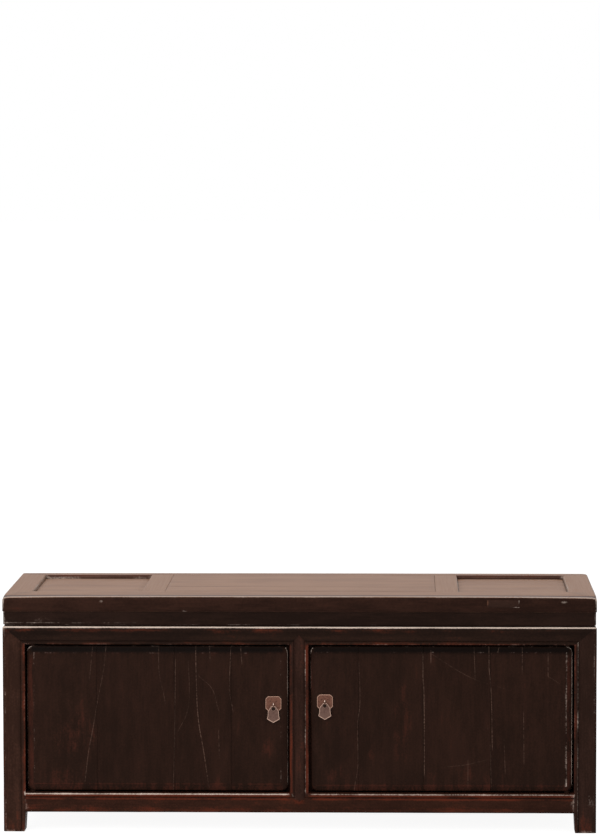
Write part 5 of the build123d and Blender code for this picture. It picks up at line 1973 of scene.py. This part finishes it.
@dataclass
class Studio:
    """The pale floor, the white surroundings, the soft lights and the camera."""

    camera_place: Point = (0.2091, -7.7584, 1.3903)
    yaw: float = 1.565
    pitch: float = -4.151
    roll: float = -0.095
    lens: float = 162.62
    sensor: float = 36.0
    clip: Flat = (0.1, 300.0)
    fill: float = 0.55
    floor_radius: float = 60.0

    def floor(self) -> None:
        """A wide disc that keeps the cabinet's shadow."""
        bm = bmesh.new()
        bmesh.ops.create_circle(bm, cap_ends=True, segments=96, radius=self.floor_radius)
        mesh = bpy.data.meshes.new("studio_floor")
        bm.to_mesh(mesh)
        bm.free()
        recipe = Recipe(bpy.data.materials.new("studio_floor"))
        matt = recipe.node("BsdfDiffuse", grey(0.86)).outputs[0]
        shadowed = recipe.node("BsdfDiffuse", grey(0.24)).outputs[0]
        white = recipe.node("Emission", grey(1.0), 0.92).outputs[0]
        pale = recipe.node("AddShader", shadowed, white).outputs[0]
        mixed = recipe.node("MixShader", self.seen_rays(recipe), matt, pale).outputs[0]
        recipe.node("OutputMaterial", mixed)
        mesh.materials.append(recipe.owner)
        floor = bpy.data.objects.new("studio_floor", mesh)
        bpy.context.scene.collection.objects.link(floor)

    @staticmethod
    def seen_rays(recipe: Recipe) -> Socket:
        """1 for rays that come from the camera, a reflection or through glass."""
        path = recipe.node("LightPath").outputs
        plain = recipe.larger(path["Is Camera Ray"], path["Is Glossy Ray"])
        return recipe.larger(plain, path["Is Transmission Ray"])

    def world(self) -> None:
        """White where it is seen, and a soft fill elsewhere."""
        world = bpy.data.worlds.new("studio")
        bpy.context.scene.world = world
        recipe = Recipe(world)
        level = recipe.remap(self.seen_rays(recipe), 0.0, 1.0, (self.fill, 1.0))
        recipe.node("OutputWorld", recipe.node("Background", grey(1.0), level).outputs[0])

    @staticmethod
    def lamp(name: str, place: Point, target: Point, size: Flat, power: float) -> None:
        """A soft rectangular lamp aimed at a point."""
        data = bpy.data.lights.new(name, "AREA")
        data.shape = "RECTANGLE"
        data.size, data.size_y = size
        data.energy = power
        lamp = bpy.data.objects.new(name, data)
        bpy.context.scene.collection.objects.link(lamp)
        lamp.location = place
        lamp.rotation_euler = (Vector(target) - Vector(place)).to_track_quat("-Z", "Y").to_euler()
        lamp.visible_camera = False

    def camera(self) -> None:
        """The camera at the height of a standing person's chest, looking slightly down."""
        data = bpy.data.cameras.new("camera")
        data.lens, data.sensor_width = self.lens, self.sensor
        data.clip_start, data.clip_end = self.clip
        camera = bpy.data.objects.new("camera", data)
        bpy.context.scene.collection.objects.link(camera)
        angles = (self.yaw, 90.0 + self.pitch, self.roll)
        yaw, pitch, roll = (Matrix.Rotation(math.radians(a), 4, axis) for a, axis in zip(angles, "ZXZ"))
        camera.matrix_world = Matrix.Translation(self.camera_place) @ yaw @ pitch @ roll
        bpy.context.scene.camera = camera

    def build(self) -> None:
        """Sets up the studio."""
        self.floor()
        self.world()
        self.lamp("overhead", (0.0, -0.3, 3.2), (0.0, 0.0, 0.4), (3.4, 2.4), 60.0)
        self.lamp("front_soft", (-1.2, -3.6, 2.0), (0.0, 0.0, 0.3), (2.6, 2.0), 60.0)
        self.lamp("left_strip", (-3.0, -1.6, 1.3), (0.0, 0.0, 0.3), (0.8, 2.2), 24.0)
        self.lamp("right_strip", (3.0, -1.6, 1.3), (0.0, 0.0, 0.3), (0.8, 2.2), 11.0)
        self.camera()
        bpy.context.scene.view_settings.view_transform = "Standard"


# The marks of this cabinet


LEFT_SCRATCHES = (
    Scratch(((-418, 374), (-424, 313)), 0.3),
    Scratch(
        ((-391, 375), (-394, 342), (-398, 317), (-408, 268), (-417, 215), (-427, 162), (-434, 105)), 0.34, 1.3
    ),
    Scratch(((-284, 375), (-284, 342), (-272, 269)), 0.34),
    Scratch(((-250, 346), (-252, 216), (-255, 89)), 0.3, 1.4),
    Scratch(((-209, 375), (-208, 310), (-204, 228), (-194, 167), (-184, 97)), 0.6, 1.5),
    Scratch(((-199, 314), (-177, 293), (-165, 255)), 0.3, 1.6),
    Scratch(((-138, 373), (-141, 290), (-135, 253)), 0.42, 1.3),
    Scratch(((-118, 373), (-116, 349)), 0.5),
    Scratch(((-181, 375), (-180, 353)), 0.45),
    Scratch(((-163, 200), (-162, 159)), 0.4),
    Scratch(((-224, 342), (-222, 289), (-228, 240), (-242, 212)), 0.25),
)
RIGHT_SCRATCHES = (
    Scratch(((121, 339), (123, 270), (118, 213), (119, 147), (111, 86)), 0.34, 1.3),
    Scratch(((266, 366), (266, 350)), 0.6, 1.3),
    Scratch(((250, 356), (250, 320), (252, 288), (253, 123)), 0.6, 1.5),
    Scratch(((276, 358), (325, 327), (357, 311), (402, 297)), 0.24, 2.0),
    Scratch(((353, 376), (355, 319)), 0.4),
    Scratch(((383, 376), (383, 344), (387, 295), (390, 177)), 0.5, 1.3),
    Scratch(((386, 173), (388, 99)), 0.3),
    Scratch(((450, 375), (450, 332)), 0.5, 1.2),
    Scratch(((453, 238), (454, 148)), 0.36),
    Scratch(((403, 376), (401, 368)), 0.5),
    Scratch(((502, 360), (502, 320), (513, 312)), 0.42),
    Scratch(((414, 183), (416, 128)), 0.3),
    Scratch(((341, 140), (341, 99)), 0.3),
    Scratch(((301, 134), (336, 138), (370, 146)), 0.22, 1.2, across=True),
)
LEFT_PATCHES = (
    Patch(-455.0, 190.0, 75.0, 110.0, 0.3),
    Patch(-480.0, 110.0, 70.0, 40.0, 0.34),
    Patch(-65.0, 175.0, 22.0, 45.0, 0.22),
)
RIGHT_PATCHES = (
    Patch(207.0, 220.0, 32.0, 130.0, 0.3),
    Patch(144.0, 170.0, 14.0, 45.0, 0.35),
    Patch(330.0, 110.0, 190.0, 40.0, 0.18),
    Patch(75.0, 110.0, 40.0, 50.0, 0.25),
)
FRIEZE_NICKS = (
    Patch(534.0, 469.5, 8.0, 3.0, 0.32),
    Patch(-399.0, 470.0, 5.0, 3.0, 0.22),
    Patch(-231.0, 450.5, 6.0, 3.0, 0.16),
)
LEFT_WEAR = DoorWear(
    free=0.7,
    hung=0.35,
    hung_reach=1.7,
    inner_free=0.22,
    inner_hung=0.2,
    inner_top=0.0,
    inner_foot=0.2,
    chipped=Hand.RIGHT,
)
RIGHT_WEAR = DoorWear(
    free=0.35,
    hung=0.9,
    hung_reach=2.2,
    inner_free=0.1,
    inner_hung=0.33,
    inner_top=0.3,
    inner_foot=0.7,
    chipped=Hand.LEFT,
)


def finishes() -> dict[str, Material]:
    """Writes every finish once.

    Returns:
        The materials by the names that the sub-assemblies ask for.
    """
    x, y, z = Grain
    frieze = (srgb(33, 19, 14), srgb(48, 29, 22))
    waist = (srgb(25, 15, 11), srgb(35, 22, 17))
    door = {"rubbed": srgb(62, 31, 23), "redness": 0.1}
    kinds = {
        "dark_y": DarkLacquer(y, "lacquer_dark_y", redness=0.15),
        "dark_z": DarkLacquer(z, "lacquer_dark_z", redness=0.15),
        # The left post is painted lighter than the right, as painted light from the left.
        "post_left": DarkLacquer(z, "lacquer_post_left", srgb(40, 24, 18), srgb(57, 36, 28), redness=0.24),
        "post_right": DarkLacquer(z, "lacquer_post_right", srgb(34, 21, 16), srgb(48, 31, 25), redness=0.2),
        "rail_top": DarkLacquer(x, "lacquer_rail_top", srgb(26, 16, 12), srgb(38, 24, 18), redness=0.14),
        "rail_bottom": DarkLacquer(
            x, "lacquer_rail_bottom", srgb(37, 20, 14), srgb(50, 28, 20), redness=0.22
        ),
        "stile": DarkLacquer(z, "lacquer_stile", srgb(35, 21, 16), srgb(50, 31, 25), redness=0.2),
        "frieze_x": DarkLacquer(x, "lacquer_frieze_x", *frieze, redness=0.1, nicks=FRIEZE_NICKS),
        "frieze_y": DarkLacquer(y, "lacquer_frieze_y", *frieze, redness=0.1),
        "wall": DarkLacquer(x, "lacquer_wall", srgb(76, 53, 45), srgb(98, 72, 62)),
        "patch": DarkLacquer(x, "lacquer_repair", srgb(32, 20, 16), srgb(46, 30, 24), srgb(100, 66, 50)),
        "waist_x": DarkLacquer(x, "lacquer_waist_x", *waist),
        "waist_y": DarkLacquer(y, "lacquer_waist_y", *waist),
        "door_left": DarkLacquer(
            z, "lacquer_door_left", scratches=LEFT_SCRATCHES, patches=LEFT_PATCHES, **door
        ),
        "door_right": DarkLacquer(
            z, "lacquer_door_right", scratches=RIGHT_SCRATCHES, patches=RIGHT_PATCHES, **door
        ),
        # The top's pale browns are partly its faded lacquer and partly a painted sheen, the reflection its
        # flat faces give when seen low.
        "top_x": FadedLacquer(x, "lacquer_top_x", srgb(122, 89, 67), srgb(106, 74, 54)),
        "top_y": FadedLacquer(y, "lacquer_top_y", srgb(117, 85, 64), srgb(114, 82, 61)),
        "wood_x": BareWood(x, "bare_wood_x"),
        "wood_y": BareWood(y, "bare_wood_y"),
        "wood_z": BareWood(z, "bare_wood_z"),
        "brass": OldBrass(),
        # The pin's near-white rubbed colour is the painted highlight on its ring.
        "brass_pin": OldBrass("old_brass_pin", srgb(106, 76, 62), srgb(88, 60, 48), srgb(226, 200, 184)),
        "brass_pull": OldBrass("old_brass_pull", srgb(94, 70, 61), srgb(82, 59, 51), srgb(172, 142, 126)),
    }
    return {key: kind.material() for key, kind in kinds.items()}


def main() -> None:
    """Loads the frame and builds the sub-assemblies and the studio in order."""
    logging.basicConfig(level=logging.INFO, format="%(message)s")
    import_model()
    made = finishes()
    Carcass(finishes=made).build()
    Waist(finishes=made).build()
    Top(finishes=made).build()
    Lid(finishes=made).build()
    Door(Hand.LEFT, (-409.5, -252.5, -137.5), 262.0, 258.9, LEFT_WEAR, finishes=made).build()
    Door(
        Hand.RIGHT, (-386.5, -251.0, -119.5), 266.0, 265.4, RIGHT_WEAR, bevel=11.5, slack=1.8, finishes=made
    ).build()
    Studio().build()


if __name__ == "__main__":
    main()
